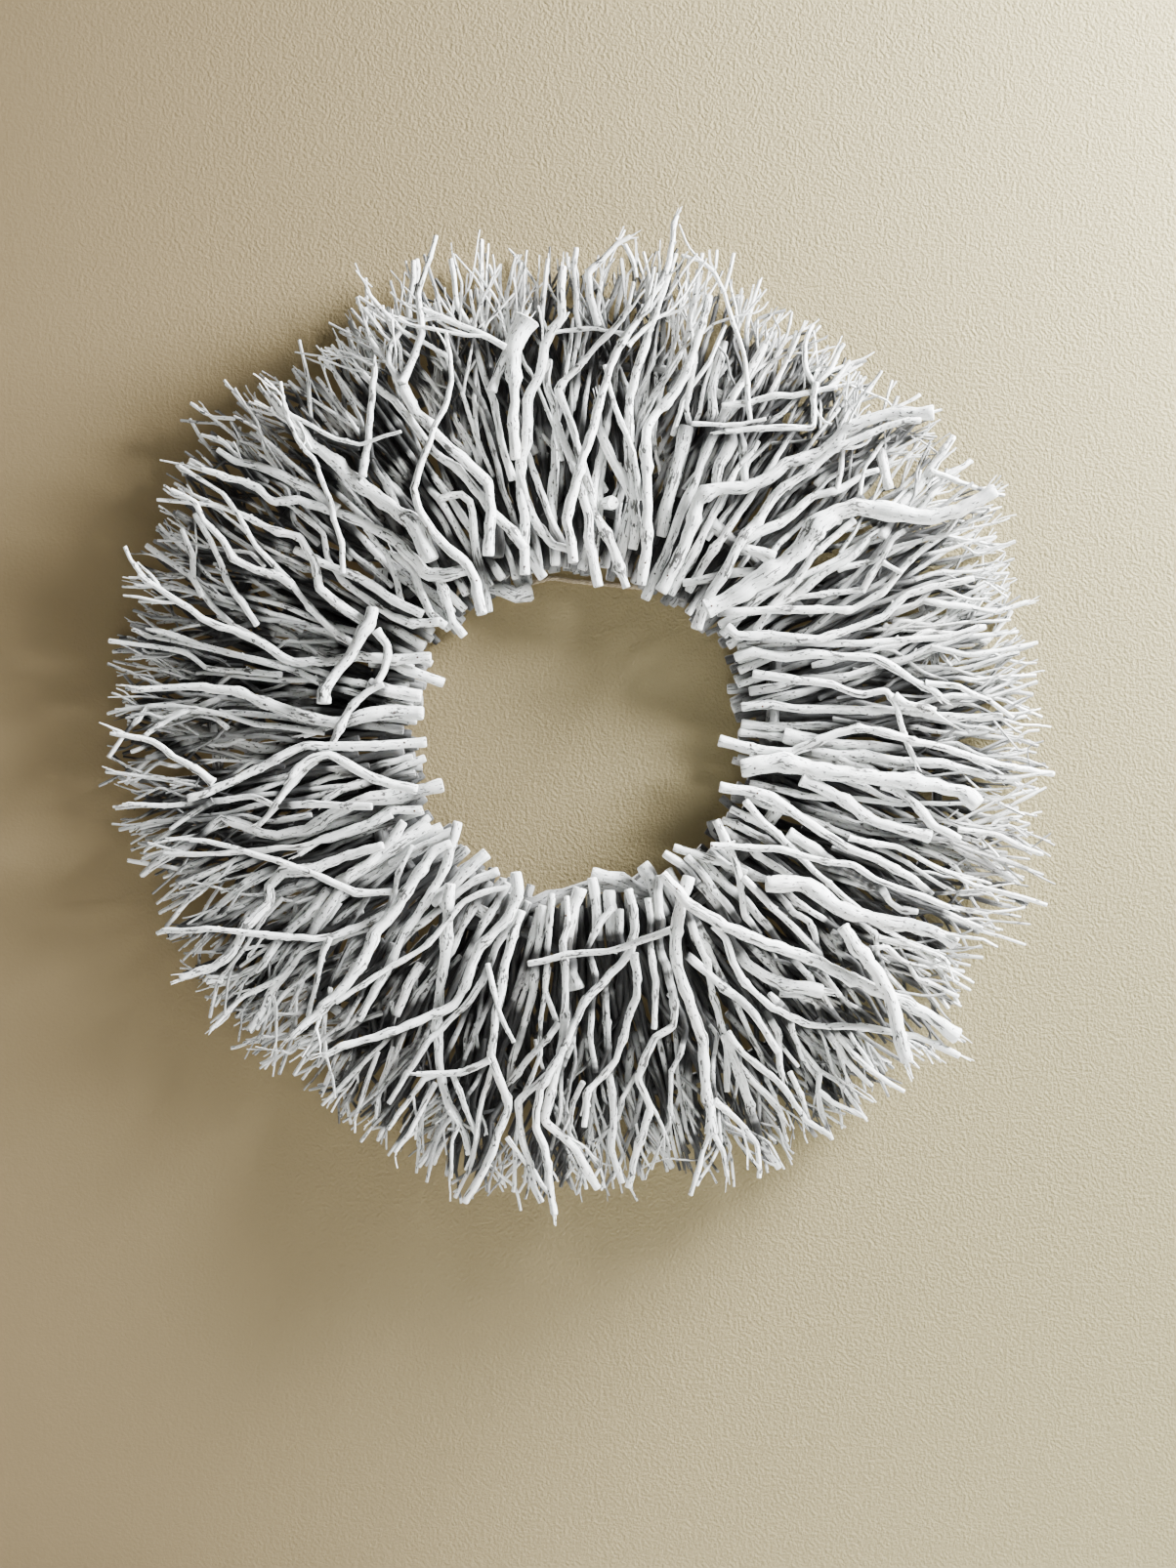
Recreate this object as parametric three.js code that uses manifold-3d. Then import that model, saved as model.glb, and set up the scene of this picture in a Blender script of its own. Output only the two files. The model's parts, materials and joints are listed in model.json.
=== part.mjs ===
import * as THREE from "three";
import { mergeVertices } from "three/addons/utils/BufferGeometryUtils.js";
import Module from "manifold-3d";

// A round wreath of whitewashed branches, as it hangs on a wall. Millimetres, +Z up.
// The wall is the plane y = 0, and the wreath stands off it towards -Y. The origin is the point
// on the wall where its hanging rope goes over a hook.
//
// Every branch is drawn on a chart of the wreath's front, in millimetres across from the left
// and down from the top. How far it stands off the wall is not drawn: it follows from laying
// the branches one over another, the deepest first.

const HOOK = [560, 586];
const CENTRE = [592, 750];
const CHART_REACH = 530;

const CELL = 0.5;
const STEP = 1;
const CLEARANCE = 0.35;
const WALL_GAP = 0.3;
const SINK = 3;
const BEND = 1 / 1100;
const STRAIGHTNESS = 3.5;
const THICK_BRANCH = 14;
const PEG_RADIUS = 2.4;
const PEG_REACH = 24;
const GRAFT_REACH = 60;
const GRAFT_TRIES = 8;

const SEED = 3;
const FRONT_BUNCHES = 12;
const FRONT_RANK = 4;
const FILL_BRANCHES = 84;
const FILL_ROOT = [167, 186];
const FILL_TIP = [400, 482];
const FILL_DIAMETER = [8, 12];
const FILL_TIP_DIAMETER = 4;
const FILL_BENDS = [0, 0.35, 0.7, 1];
const FILL_SPREAD = [-0.3, 0.3];
const FILL_SKEW = [-0.13, 0.13];
const FILL_BOW = [-0.03, 0.03];
const FILL_LIFT = [0, 0.03];
const DEEP_LIFT = [0, 0.05];
const FRONT_LIFT = [0.02, 0.15];

const INNER_HOOP_STANDOFF = 6;
const INNER_HOOP_LOWER = 5;
const OUTER_HOOP_RADIUS = 388;
const OUTER_HOOP_STICKS = 8;
const OUTER_HOOP_OVERLAP = 0.035;
const OUTER_HOOP_DIAMETER = 12;
const OUTER_HOOP_BENDS = [-1, -0.35, 0.35, 1];
const HOOP_SIDES = 6;
const SLIM_SIDES = 4;
const CORNERED = Math.sqrt(0.75);

const ROPE_RADIUS = 2.6;
const ROPE_SIDES = 8;
const ROPE_LOOP_SLACK = 0.4;
const ROPE_LOOP_STEPS = 14;
const ROPE_LOOP_STICKS = [1, 4];
const ROPE_LOOP_SIDES = 6;
const ROPE_LOOPS = [[470, 598], [794.5, 619]];

const WHITEWASH = new THREE.MeshStandardMaterial({ color: 0xdfe2e4, roughness: 0.9 });
const GREY_WASH = new THREE.MeshStandardMaterial({ color: 0xb4b8b8, roughness: 0.95 });
const JUTE = new THREE.MeshStandardMaterial({ color: 0x8f7a58, roughness: 1 });

// The inner hoop. Each stick: its diameters from end to end, then its points on the chart.
// The lower sticks lie behind, and the upper ones cross over their ends.
const INNER_HOOP = `
17,16 372,596 543,600
16,14 372,842 482,952
16,15 476,950 664,899
17,16 794,574 797,870
20,18 574,495 762,557
16,15 386,578 390,882
14,13 440,918 574,977
15,14 606,896 738,944
16,15 698,938 806,818
15,14 824,620 728,530
16,15 410,605 620,490
`;

// The branches. Each row: a name for a branch that is a piece of its own, its rank from 1, the
// deepest, to 5, the front, its diameters from root to tip, and its points on the chart.
// A row that starts with > is an arm of the branch above it, and an indented line goes on with
// the row before it.
const BRANCHES = `
4 12,12,9 537,588 537,530 531,498 531,468 540,430 546,395 555,350 562,336 575,322 576,270
> 5,4 562,338 578,336 607,333 640,338 652,334
4 11,8 537,562 494,507 444,462 425,435 405,410 385,395 372,385
4 12,11 500,570 503,520 500,495 470,466 425,425 413,398
> 8,6 413,398 400,375 401,358 412,343
> 9,5 413,396 424,372 434,345 430,305 443,268 448,247
3 8,7 577,556 565,530 552,490 543,465 533,440
4 10,8 584,562 566,556 549,535 538,510 534,490
3 13,12 556,590 545,572 538,560
branch_top_left 5 12,9,6 587,576 582,532 598,468 608,440 616,404 624,375 656,325 680,280 688,250
  692,226
> 5,4 643,355 668,330 680,300 692,262
4 12,8 613,599 607,560 600,520 590,480 568,425 562,395 562,365
4 11,9,6 642,600 630,562 618,538 606,508 588,440 577,410 573,397 590,377 612,350 626,336 645,312
3 13,10 634,572 637,535 646,506 640,488 624,462 612,435 611,405
branch_top 5 13,11,9 657,597 664,560 666,520 663,432 673,413 692,394 704,378 712,350 727,298
4 12,9 648,560 654,510 646,455 641,405 650,383 660,355 672,312
4 7,5 656,510 652,480 642,448 632,418 619,372
branch_top_right_slim 4 11,9 661,611 672,583 692,540 706,500 722,466 740,432 754,400 768,378 785,348
branch_top_club 5 11,12,24 528,470 526,430 526,395 524,362 528,345 540,325
> 11,10 522,358 512,375 503,400
4 9,6 525,490 503,410 494,385 484,352 475,330 466,305 461,262
5 8,6 518,358 500,347 480,338 455,329 434,321
5 4,4 500,348 475,347 445,343 420,338 395,325
3 9,7 430,345 422,300 423,255
3 8,7 416,330 418,290 420,257
3 6,5 500,370 495,345 491,320 493,290 491,236
3 6,5 562,338 553,318 555,300 560,256
3 7,6 590,350 592,335 588,305 588,280 590,245
4 9,6 612,330 606,300 604,275 618,262 632,246 646,238
> 5,4 640,246 648,265 652,280
branch_top_forked 4 15,14,12 677,604 692,570 704,540 714,512 735,502 765,500 788,489 806,470
  842,457 870,436 905,426 955,424
3 9,7 688,607 712,556 738,508 752,480 778,448
2 14,14 678,545 687,500 697,460 705,430
2 13,13 735,500 743,465 752,435
2 9,9 765,495 762,470 757,430
2 13,9 718,480 726,430 737,370 745,340
3 6,4 690,440 700,405 716,380 732,355 745,325
3 7,4 765,380 768,345 770,320 782,275
5 6,4 769,430 763,370 757,345 742,296 748,272 752,256
> 5,4 742,296 733,275 720,263 698,258
5 5,4 708,434 740,437 784,430
4 8,6 740,413 770,409 805,402 836,398 858,395
4 7,7 836,390 835,415 832,434 800,437 742,442
branch_upper_right 5 13,10,7 713,644 728,604 748,570 770,536 792,511 818,490 846,467 878,450
  905,440 940,434
branch_right_thick 5 22,22,20,12 722,625 750,612 775,594 800,578 818,560 832,540 850,526 872,518
  900,523 947,535 975,528 1012,507
4 10,6 735,626 790,623 835,626 875,620 905,604 925,583 950,560 988,522
3 10,10 700,595 722,591 750,584 785,582 800,576
3 14,14 758,560 775,562 795,570
3 12,7 755,556 785,538 812,524 838,505 862,497 885,484 902,479
3 9,8 775,645 795,617 818,596 835,570 855,550 878,530
3 10,6 812,612 840,592 866,574 885,556 905,540
> 7,6 860,580 900,572 930,555
3 6,6 790,622 822,610 852,605 885,603
branch_right_slim 5 11,9,7 745,640 755,650 800,650 842,650 872,640 905,628 930,607 958,598 1000,591
4 9,7 757,660 800,659 850,655 905,653 975,648 1015,640
5 11,8 754,672 772,662 805,670 850,672 900,675 922,688 945,700 958,705 967,714
> 7,5 950,699 985,702 1010,714 1040,735
branch_right_crooked 5 11,8,6 773,688 805,692 845,700 880,709 910,706 921,722 926,742 932,762
  939,779
> 9,9 918,712 930,722 960,728
4 10,8 762,723 800,722 900,725 935,728 985,734 1030,733
branch_right_long 5 13,9,6 738,758 775,763 815,771 842,757 878,748 912,751 945,762 1000,776
  1045,786 1085,793
branch_right_lower 5 22,18,14 760,787 800,787 840,793 880,797 920,803 960,807 990,815 1003,825
> 14,11 822,797 850,812 880,828 905,842 930,852 955,857
> 11,9 905,803 925,815 945,830 960,843 985,860
4 14,8 835,769 868,774 905,775 945,780 1020,794 1050,797
> 12,10 862,776 885,785 905,797
branch_lower_right_long 4 12,8 737,806 790,815 812,830 845,852 905,885 935,900 955,917
> 7,4 870,858 895,862 920,868 945,882 970,893 1000,908 1030,915 1075,928
5 9,6 763,820 785,843 808,868 832,893 856,913 880,932
5 8,6 727,866 765,865 800,868 830,877 870,887 900,900 968,928
4 10,7 733,840 745,862 757,885 757,912 762,940 778,957
2 18,12,8 806,752 850,758 900,761 930,766
3 14,12 808,853 835,870 855,885
3 6,4 940,697 985,693 1030,692 1072,689
4 8,6 884,605 897,580 915,552 932,540
> 5,5 905,575 925,586
3 12,8 905,548 922,520 940,495 955,474 980,443
3 9,6 940,525 960,497 978,479 1000,465
4 6,6 858,500 862,480 864,455
2 11,11 915,497 909,475 905,455
3 8,5 833,435 837,410 837,388 829,370 828,345 836,325
> 6,5 838,388 855,372 863,352 868,345
3 5,4 882,505 888,475 905,450 925,438
3 8,7 900,903 912,925 925,935 942,935
3 7,5 960,660 1000,668 1035,662 1072,655
3 8,5 985,850 1020,856 1052,870 1073,876
3 7,4 955,480 985,492 1032,505
3 8,5 950,610 990,618 1030,622 1063,612
branch_left_forked 5 14,11,7 480,582 438,583 420,566 400,548 375,536 340,523 305,511 280,516
  262,500 250,494 207,481
> 11,12,6 345,522 318,498 290,484 262,474 240,471 222,460
branch_left_thick 5 20,16,10 442,575 427,535 400,515 380,498 360,485 345,472 325,458 310,440 278,407
> 8,7 372,490 378,460 383,400 386,380
5 5,4 300,428 320,438 345,452 370,458 395,450 413,446
branch_upper_left_long 5 13,8,4 494,630 490,598 478,578 458,560 430,522 424,503 447,444 458,414
  464,396 462,368 458,345
3 12,8 499,625 495,600 485,530 482,512 470,503 448,508
2 16,15 503,520 507,568
4 11,10 474,650 462,636 455,612 440,562
4 10,8 455,640 440,625 420,582 402,566
4 8,5 410,618 404,592 394,565 378,546 372,540
4 10,6 448,636 420,638 400,630 350,594 337,572 330,545 300,520
4 11,9 432,629 402,613 372,597 345,585 300,562
5 7,4 352,588 351,560 343,525 332,498 323,472 308,452 295,425 290,395
4 5,4 320,450 317,425 309,372 303,343
4 12,8,4 374,638 345,617 326,603 318,575 306,552 278,540 250,528 222,519 162,513
4 9,6,4 365,662 335,638 305,608 262,558 245,530 228,505 205,490 185,478
3 7,5 262,500 235,490 212,476 187,465
4 10,5 300,600 285,590 262,583 240,572 226,552 208,534 200,516 177,503
4 8,6 262,640 247,615 232,595 222,572 204,538 198,525
5 8,6 205,610 195,590 194,568 184,540
3 9,7 235,620 208,600 185,582 143,555
branch_left_level 5 12,10,6 440,672 400,674 360,673 330,677 300,677 270,660 240,645 205,633
  175,613 142,588
> 6,4 150,596 134,574 128,560
4 8,6 292,678 262,656 236,640 214,620 190,585
4 7,5 285,690 240,686 205,682 185,668 150,660 107,655
branch_left_crossing 5 14,13,12 382,622 381,642 364,662 348,684 338,704 332,721
> 9,8 385,645 394,662 392,685 386,700
5 8,9 393,701 376,711 360,726 349,744 337,768 318,786 300,804 286,822
4 12,11 452,698 428,692 402,682 375,676
3 15,14 430,712 400,706 375,700
branch_left_knotted 4 17,13,6 432,730 400,730 372,732 345,738 300,727 262,716 235,707 205,699
  165,703 132,706
3 8,7 360,738 335,742 307,753
4 7,5 330,750 295,744 262,740 200,727 145,722 125,750 107,775
branch_left_bent 5 11,9 437,760 385,762 340,762 310,768 275,782 240,797 196,818
> 9,5 222,802 200,788 180,776 160,762 125,752
branch_left_low 4 17,12,8 452,804 410,811 370,822 335,834 308,851 278,855 250,843 222,834 205,848
  188,863 140,898
5 11,9 428,809 400,800 368,787 338,773 320,778 300,796
4 9,8 433,776 400,788 372,800 345,812 328,820
4 10,8 430,830 396,834 365,845 332,860 303,875
4 9,5 380,826 340,824 276,824 255,817 225,821 185,823 122,825
> 8,7 280,825 270,838 262,845
> 7,5 215,820 192,836 170,850
4 15,13 438,845 412,862 385,880 343,906
4 12,9 412,842 395,865 378,885 352,902
5 9,5 400,914 362,914 343,906 310,892 250,872 235,867 215,862 195,860
4 8,5 400,835 365,850 325,862 300,870 230,873 165,875
branch_lower_left_club 4 10,13,8 392,866 350,876 315,888 290,896 272,907 268,925 256,945 238,977
  218,992 183,1003
3 9,6 290,888 265,893 245,905 228,920 203,945
3 8,5 262,880 235,890 212,900 197,912 185,925 162,952
4 9,6 402,912 395,932 370,945 340,957 318,962 275,960 210,950 158,957
4 8,5 383,952 355,957 330,967 305,978 285,1000 245,1025 212,1057
3 12,9 345,912 330,935 318,955 290,995 275,1015 250,1060
3 11,8 332,912 315,930 298,948 282,965 257,998
4 8,5 337,960 330,975 325,1000 314,1042
4 4,4 235,423 212,420 189,407
3 6,4 270,490 245,470 222,448 200,440
3 6,4 230,690 190,715 150,720 102,730
3 6,4 240,800 200,802 150,798 98,790
5 10,9 534,932 527,955 520,985 516,1010 508,1035 503,1080 508,1095 520,1130 518,1145 505,1180
  477,1227
> 8,6 503,1082 490,1090 475,1097 428,1097
5 6,5 500,985 505,1010 515,1040 527,1065
4 13,11,8 461,905 458,940 455,970 450,1030 453,1110 460,1130 477,1160 481,1180
branch_bottom_left_long 5 13,10,8 528,893 531,912 522,938 505,955 490,970 475,1010 463,1028
  445,1035 400,1052 335,1078
4 9,6 533,938 512,962 488,1012 474,1035 455,1052 440,1065 428,1085 415,1105 398,1130
5 7,6 520,908 497,913 475,922 463,935 440,968 425,977 400,990 345,1025
4 11,9 468,842 463,862 456,888 436,922 420,950 405,975 383,1010 366,1045
4 11,14,9 462,864 445,872 434,894 405,935 383,955 375,975 352,1010 300,1060
4 7,6 420,866 414,880 406,896 402,916
3 11,10 430,988 421,1005 413,1025 404,1042
2 14,12 498,874 480,888 466,900 440,925
2 10,9 510,893 490,900 475,910 450,930
2 7,7 455,855 435,862 420,870 395,885
4 10,8 556,928 551,955 549,985 546,1015 538,1045 522,1108
4 8,6 565,920 562,940 560,990 558,1015 570,1047
5 8,7 572,1047 553,1068 537,1085 522,1108
5 7,10,9 580,918 579,950 579,985 577,1060 566,1120 560,1145 572,1160 588,1175 612,1216
3 15,13 594,910 586,940 583,970 590,1015
2 12,11 606,900 610,920 612,965
2 15,14 624,913 628,965
3 8,7 628,930 615,945 600,975
3 9,8 635,932 637,950 639,990
branch_bottom_bent 5 10,9,8 643,910 651,955 646,975 624,997 602,1022 587,1047 576,1070 571,1082
  553,1110 549,1150 558,1170 568,1235
> 9,7 648,975 650,1020 645,1035 640,1060 630,1085 600,1115 598,1150
5 7,8 541,986 580,977 622,973 652,962 692,948
4 9,7 664,920 666,940 665,955 668,985 672,1005 670,1055
4 10,8 675,897 675,925 679,975 690,1040 690,1052 672,1065 662,1085 656,1105 664,1135 650,1175
  643,1218
> 7,5 686,1018 700,1040 704,1055 697,1080 688,1100 688,1145
branch_bottom_tall 5 14,12,11 704,896 697,918 692,950 692,975 698,1000 706,1030 713,1060 722,1110
  727,1128 726,1155
> 7,5 729,1122 745,1135 762,1150 772,1165 774,1200
> 6,5 726,1152 720,1170 705,1217
> 6,5 726,1152 738,1172 742,1198
4 7,9,7 620,1000 621,1040 621,1070 628,1125 625,1180 637,1213
4 8,6 604,980 608,1000 606,1020 605,1060 610,1100
branch_lower_right_broken 5 12,13,14 676,893 704,921 735,943 780,961 830,978 872,998 912,1021
  972,1056
3 9,8 703,877 722,898 742,923 758,945
2 9,9 680,874 700,888 715,905
2 9,9 690,868 720,876 740,882 765,895
2 17,16 658,886 667,900 680,940
4 9,7 702,925 712,955 722,985 736,1030 742,1060 745,1120
4 10,8 703,978 728,1000 757,1025 770,1040 797,1078
5 8,7 727,945 740,958 748,982 756,1002 785,1030 805,1038 825,1045 880,1048 930,1055 973,1075
4 12,14 742,945 752,965 768,985 785,997 805,1005 843,1016
4 8,7 760,898 785,922 812,950 840,983
3 8,7 795,912 815,935 830,945 843,985
branch_lower_right_thick 5 20,17,12 783,905 810,908 835,915 875,930 900,938 930,945 955,955 975,965
branch_lower_right_cut 5 16,14 856,945 880,970 890,990 897,1010 905,1040 920,1080
3 7,5 865,938 885,948 897,960 899,978 908,998 945,1035
> 6,5 902,962 940,972 960,978 975,990
> 6,5 905,970 935,990 942,1005 960,1012 985,1023
3 7,6 815,978 845,1000 862,1022
4 7,6 800,1020 820,1022 838,1030 842,1045
4 12,10,8 742,1060 755,1095 763,1118 770,1140 778,1160 799,1199
3 9,7 755,1090 772,1108 787,1126 803,1148
4 8,6 745,1057 755,1070 775,1090 800,1115 825,1148 850,1163
3 7,5 805,1045 818,1070 835,1090 842,1100 838,1125 855,1172
3 9,7 785,1035 797,1060 800,1085 803,1105
3 6,5 810,1100 820,1125 830,1150
4 8,6 838,1045 852,1065 865,1085 895,1115
4 7,5 855,1055 875,1080 893,1097 928,1120
5 5,4 842,1100 860,1112 875,1128 890,1150
5 6,5 840,1120 855,1133 875,1143 887,1147
4 7,5 450,1098 435,1105 425,1120 398,1155
4 7,5 447,1108 435,1125 420,1155 405,1178
5 5,4 460,1135 470,1150 465,1165 463,1203
4 7,5 465,1100 483,1145 490,1160 485,1180 467,1223
4 6,5 505,1090 495,1115 488,1165
4 6,5 520,1160 535,1180 548,1195 567,1222
4 9,8,7 565,1095 545,1112 533,1125 537,1165 547,1210 555,1225
4 5,4 600,1185 590,1195 575,1215
3 6,4 385,1080 372,1110 360,1152
3 6,4 400,1075 388,1110 383,1150
3 6,4 905,1050 935,1065 965,1088
`;

// How far a stick's surface rises above its centre line, at a distance across the stick.
const OUTLINES = {
  4: (across, radius) => radius - across,
  6: (across, radius) => Math.min(CORNERED * radius, 2 * CORNERED * (radius - across)),
  8: (across, radius) => Math.sqrt(Math.max(0, radius ** 2 - across ** 2)),
};

const wasm = await Module();
wasm.setup();

function seededDraw(seed) {
  let state = seed;
  return (low, high) => {
    state = (state + 0x6d2b79f5) | 0;
    let mixed = Math.imul(state ^ (state >>> 15), 1 | state);
    mixed = (mixed + Math.imul(mixed ^ (mixed >>> 7), 61 | mixed)) ^ mixed;
    const share = ((mixed ^ (mixed >>> 14)) >>> 0) / 4294967296;
    return low + (high - low) * share;
  };
}

function readRow(line) {
  const words = line.trim().split(/\s+/);
  const arm = words[0] === ">";
  const name = /^[a-z]/.test(words[0]) ? words[0] : null;
  if (arm || name) words.shift();
  const rank = words[0].includes(",") ? 0 : Number(words.shift());
  const diameters = words.shift().split(",").map(Number);
  const points = words.map((word) => word.split(",").map(Number));
  return { name, arm, rank, diameters, points };
}

function readChart(text) {
  const rows = [];
  for (const line of text.trim().replace(/\n\s+/g, " ").split("\n")) {
    const row = readRow(line);
    if (row.arm) rows.at(-1).arms.push(row);
    else rows.push({ ...row, arms: [] });
  }
  return rows;
}

// Leaves out the points that lie within STRAIGHTNESS of the line between those kept.
function straightened(points) {
  if (points.length < 3) return points;
  const [first, last] = [points[0], points.at(-1)];
  const along = [last[0] - first[0], last[1] - first[1]];
  const length = Math.hypot(...along) || 1;
  const offsets = points.map(([u, v]) => {
    const cross = (u - first[0]) * along[1] - (v - first[1]) * along[0];
    return Math.abs(cross) / length;
  });
  const far = offsets.indexOf(Math.max(...offsets));
  if (offsets[far] < STRAIGHTNESS) return [first, last];
  const before = straightened(points.slice(0, far + 1));
  return [...before.slice(0, -1), ...straightened(points.slice(far))];
}

function pathLengths(points) {
  const lengths = [0];
  for (let i = 1; i < points.length; i += 1) {
    const stride = Math.hypot(points[i][0] - points[i - 1][0], points[i][1] - points[i - 1][1]);
    lengths.push(lengths[i - 1] + stride);
  }
  return lengths;
}

function blend(values, share) {
  if (values.length === 1) return values[0];
  const place = share * (values.length - 1);
  const index = Math.min(Math.floor(place), values.length - 2);
  return values[index] + (values[index + 1] - values[index]) * (place - index);
}

class Branch {
  constructor(row, sides) {
    const full = pathLengths(row.points);
    this.points = straightened(row.points);
    this.lengths = pathLengths(this.points);
    this.length = this.lengths.at(-1);
    const shares = this.points.map((point) => full[row.points.indexOf(point)] / full.at(-1));
    this.radii = shares.map((share) => blend(row.diameters, share) / 2);
    this.sides = sides ?? (Math.max(...row.diameters) >= THICK_BRANCH ? HOOP_SIDES : SLIM_SIDES);
    this.samples = this.sampled();
  }

  sampled() {
    const samples = [];
    for (let i = 0; i + 1 < this.points.length; i += 1) {
      const [from, to] = [this.points[i], this.points[i + 1]];
      const stride = this.lengths[i + 1] - this.lengths[i];
      const count = Math.max(1, Math.ceil(stride / STEP));
      for (let k = 0; k <= count; k += 1) {
        const share = k / count;
        samples.push({
          segment: i,
          share,
          along: this.lengths[i] + stride * share,
          u: from[0] + (to[0] - from[0]) * share,
          v: from[1] + (to[1] - from[1]) * share,
          radius: this.radii[i] + (this.radii[i + 1] - this.radii[i]) * share,
        });
      }
    }
    return samples;
  }

  height(sample) {
    const [low, high] = [this.heights[sample.segment], this.heights[sample.segment + 1]];
    return low + (high - low) * sample.share;
  }

  nearest(u, v) {
    let found = { sample: this.samples[0], distance: Infinity };
    for (const sample of this.samples) {
      const distance = Math.hypot(sample.u - u, sample.v - v);
      if (distance < found.distance) found = { sample, distance };
    }
    return found;
  }
}

// What has been laid so far, seen from the front: how far its surface stands off the wall in
// each cell of the chart, and whose surface that is.
class Pile {
  constructor() {
    this.side = Math.ceil((2 * CHART_REACH) / CELL);
    this.top = new Float32Array(this.side * this.side);
    this.piece = new Int16Array(this.side * this.side).fill(-1);
    this.branch = new Int16Array(this.side * this.side).fill(-1);
  }

  around(u, v, radius, visit) {
    const column = (u - CENTRE[0] + CHART_REACH) / CELL;
    const row = (v - CENTRE[1] + CHART_REACH) / CELL;
    const reach = radius / CELL;
    for (let j = Math.ceil(row - reach); j <= row + reach; j += 1) {
      for (let i = Math.ceil(column - reach); i <= column + reach; i += 1) {
        const across = Math.max(0, Math.hypot(i - column, j - row) * CELL - CELL / 2);
        if (across < radius) visit(j * this.side + i, across);
      }
    }
  }

  // The least height of a branch's centre line at a sample, for it to lie over what is there.
  // It sinks into its own piece, and passes the branch that it grows from.
  rest(sample, sides, piece, parent) {
    const outline = OUTLINES[sides];
    let height = sample.radius + WALL_GAP;
    this.around(sample.u, sample.v, sample.radius + CLEARANCE, (cell, across) => {
      if (this.piece[cell] < 0 || (parent >= 0 && this.branch[cell] === parent)) return;
      const own = this.piece[cell] === piece;
      const radius = own ? sample.radius - SINK : sample.radius + CLEARANCE;
      const rise = own && across > sample.radius ? -Infinity : outline(across, radius);
      const bottom = own ? outline(across, sample.radius) - SINK : rise;
      height = Math.max(height, this.top[cell] + bottom);
    });
    return height;
  }

  lay(branch, piece, index) {
    const outline = OUTLINES[branch.sides];
    for (const sample of branch.samples) {
      const centre = branch.height(sample);
      this.around(sample.u, sample.v, sample.radius, (cell, across) => {
        const surface = centre + outline(across, sample.radius);
        if (surface <= this.top[cell]) return;
        this.top[cell] = surface;
        this.piece[cell] = piece;
        this.branch[cell] = index;
      });
    }
  }

  cover(u, v, radius, height, piece) {
    this.around(u, v, radius, (cell) => {
      if (height <= this.top[cell]) return;
      this.top[cell] = height;
      this.piece[cell] = piece;
    });
  }

  piecesUnder(branch) {
    const counts = new Map();
    for (const sample of branch.samples) {
      this.around(sample.u, sample.v, sample.radius / 2, (cell) => {
        const piece = this.piece[cell];
        if (piece >= 0) counts.set(piece, (counts.get(piece) ?? 0) + 1);
      });
    }
    return [...counts].sort((a, b) => b[1] - a[1]).map(([piece]) => piece);
  }
}

// Sets the heights of a branch's points so that it lies on the pile, as stiff as wood is, with
// its outer part lifted off by the given slope. An arm starts at the height of its parent.
function settle(branch, pile, piece, { parent = -1, start = 0, lift = 0, floor = 0 }) {
  const { samples, lengths, sides } = branch;
  const needs = samples.map((sample) => Math.max(floor, pile.rest(sample, sides, piece, parent)));
  if (parent >= 0) needs[0] = Math.max(needs[0], start);
  const curve = lengths.map((along) => {
    let height = 0;
    samples.forEach((sample, i) => {
      height = Math.max(height, needs[i] - BEND * (along - sample.along) ** 2);
    });
    return height;
  });
  const hinge = branch.length / 3;
  const base = curve[0] + (curve.at(-1) - curve[0]) / 3;
  branch.heights = curve.map((height, i) => {
    return Math.max(height, base + lift * Math.max(0, lengths[i] - hinge));
  });
  const lacks = new Array(lengths.length - 1).fill(0);
  samples.forEach((sample, i) => {
    const lack = needs[i] - branch.height(sample);
    lacks[sample.segment] = Math.max(lacks[sample.segment], lack);
  });
  branch.heights = branch.heights.map((height, i) => {
    return height + Math.max(lacks[i - 1] ?? 0, lacks[i] ?? 0);
  });
  if (parent >= 0) return;
  const slack = Math.min(...samples.map((sample, i) => branch.height(sample) - needs[i]));
  branch.heights = branch.heights.map((height) => height - slack);
}

function twoDigits(number) {
  return String(number).padStart(2, "0");
}

function place(u, v, height) {
  return new THREE.Vector3(u - HOOK[0], -height, HOOK[1] - v);
}

function solidOf(geometry) {
  const bare = geometry.clone();
  bare.deleteAttribute("normal");
  bare.deleteAttribute("uv");
  const merged = mergeVertices(bare, 1e-4);
  return new wasm.Manifold(new wasm.Mesh({
    numProp: 3,
    vertProperties: Float32Array.from(merged.attributes.position.array),
    triVerts: Uint32Array.from(merged.index.array),
  }));
}

// A tapered stick through the given points, with its ends sawn off flat. A corner of its
// section points to each side, so that it shows at its full width.
function stickSolid(points, radii, sides) {
  const positions = [];
  const indices = [];
  const forward = new THREE.Vector3(0, -1, 0);
  points.forEach((point, i) => {
    const before = points[Math.max(0, i - 1)];
    const after = points[Math.min(points.length - 1, i + 1)];
    const into = point.clone().sub(before).normalize();
    const out = after.clone().sub(point).normalize();
    const tangent = into.add(out).normalize();
    const across = new THREE.Vector3().crossVectors(tangent, forward).normalize();
    const front = new THREE.Vector3().crossVectors(across, tangent).normalize();
    for (let k = 0; k < sides; k += 1) {
      const angle = (2 * Math.PI * k) / sides;
      const corner = point.clone();
      corner.addScaledVector(across, radii[i] * Math.cos(angle));
      corner.addScaledVector(front, radii[i] * Math.sin(angle));
      positions.push(...corner.toArray());
    }
  });
  for (let i = 0; i + 1 < points.length; i += 1) {
    for (let k = 0; k < sides; k += 1) {
      const [a, b] = [i * sides + k, i * sides + ((k + 1) % sides)];
      indices.push(a, a + sides, b, b, a + sides, b + sides);
    }
  }
  const last = (points.length - 1) * sides;
  for (let k = 1; k + 1 < sides; k += 1) {
    indices.push(0, k, k + 1, last, last + k + 1, last + k);
  }
  const geometry = new THREE.BufferGeometry();
  geometry.setAttribute("position", new THREE.Float32BufferAttribute(positions, 3));
  geometry.setIndex(indices);
  return solidOf(geometry);
}

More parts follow.
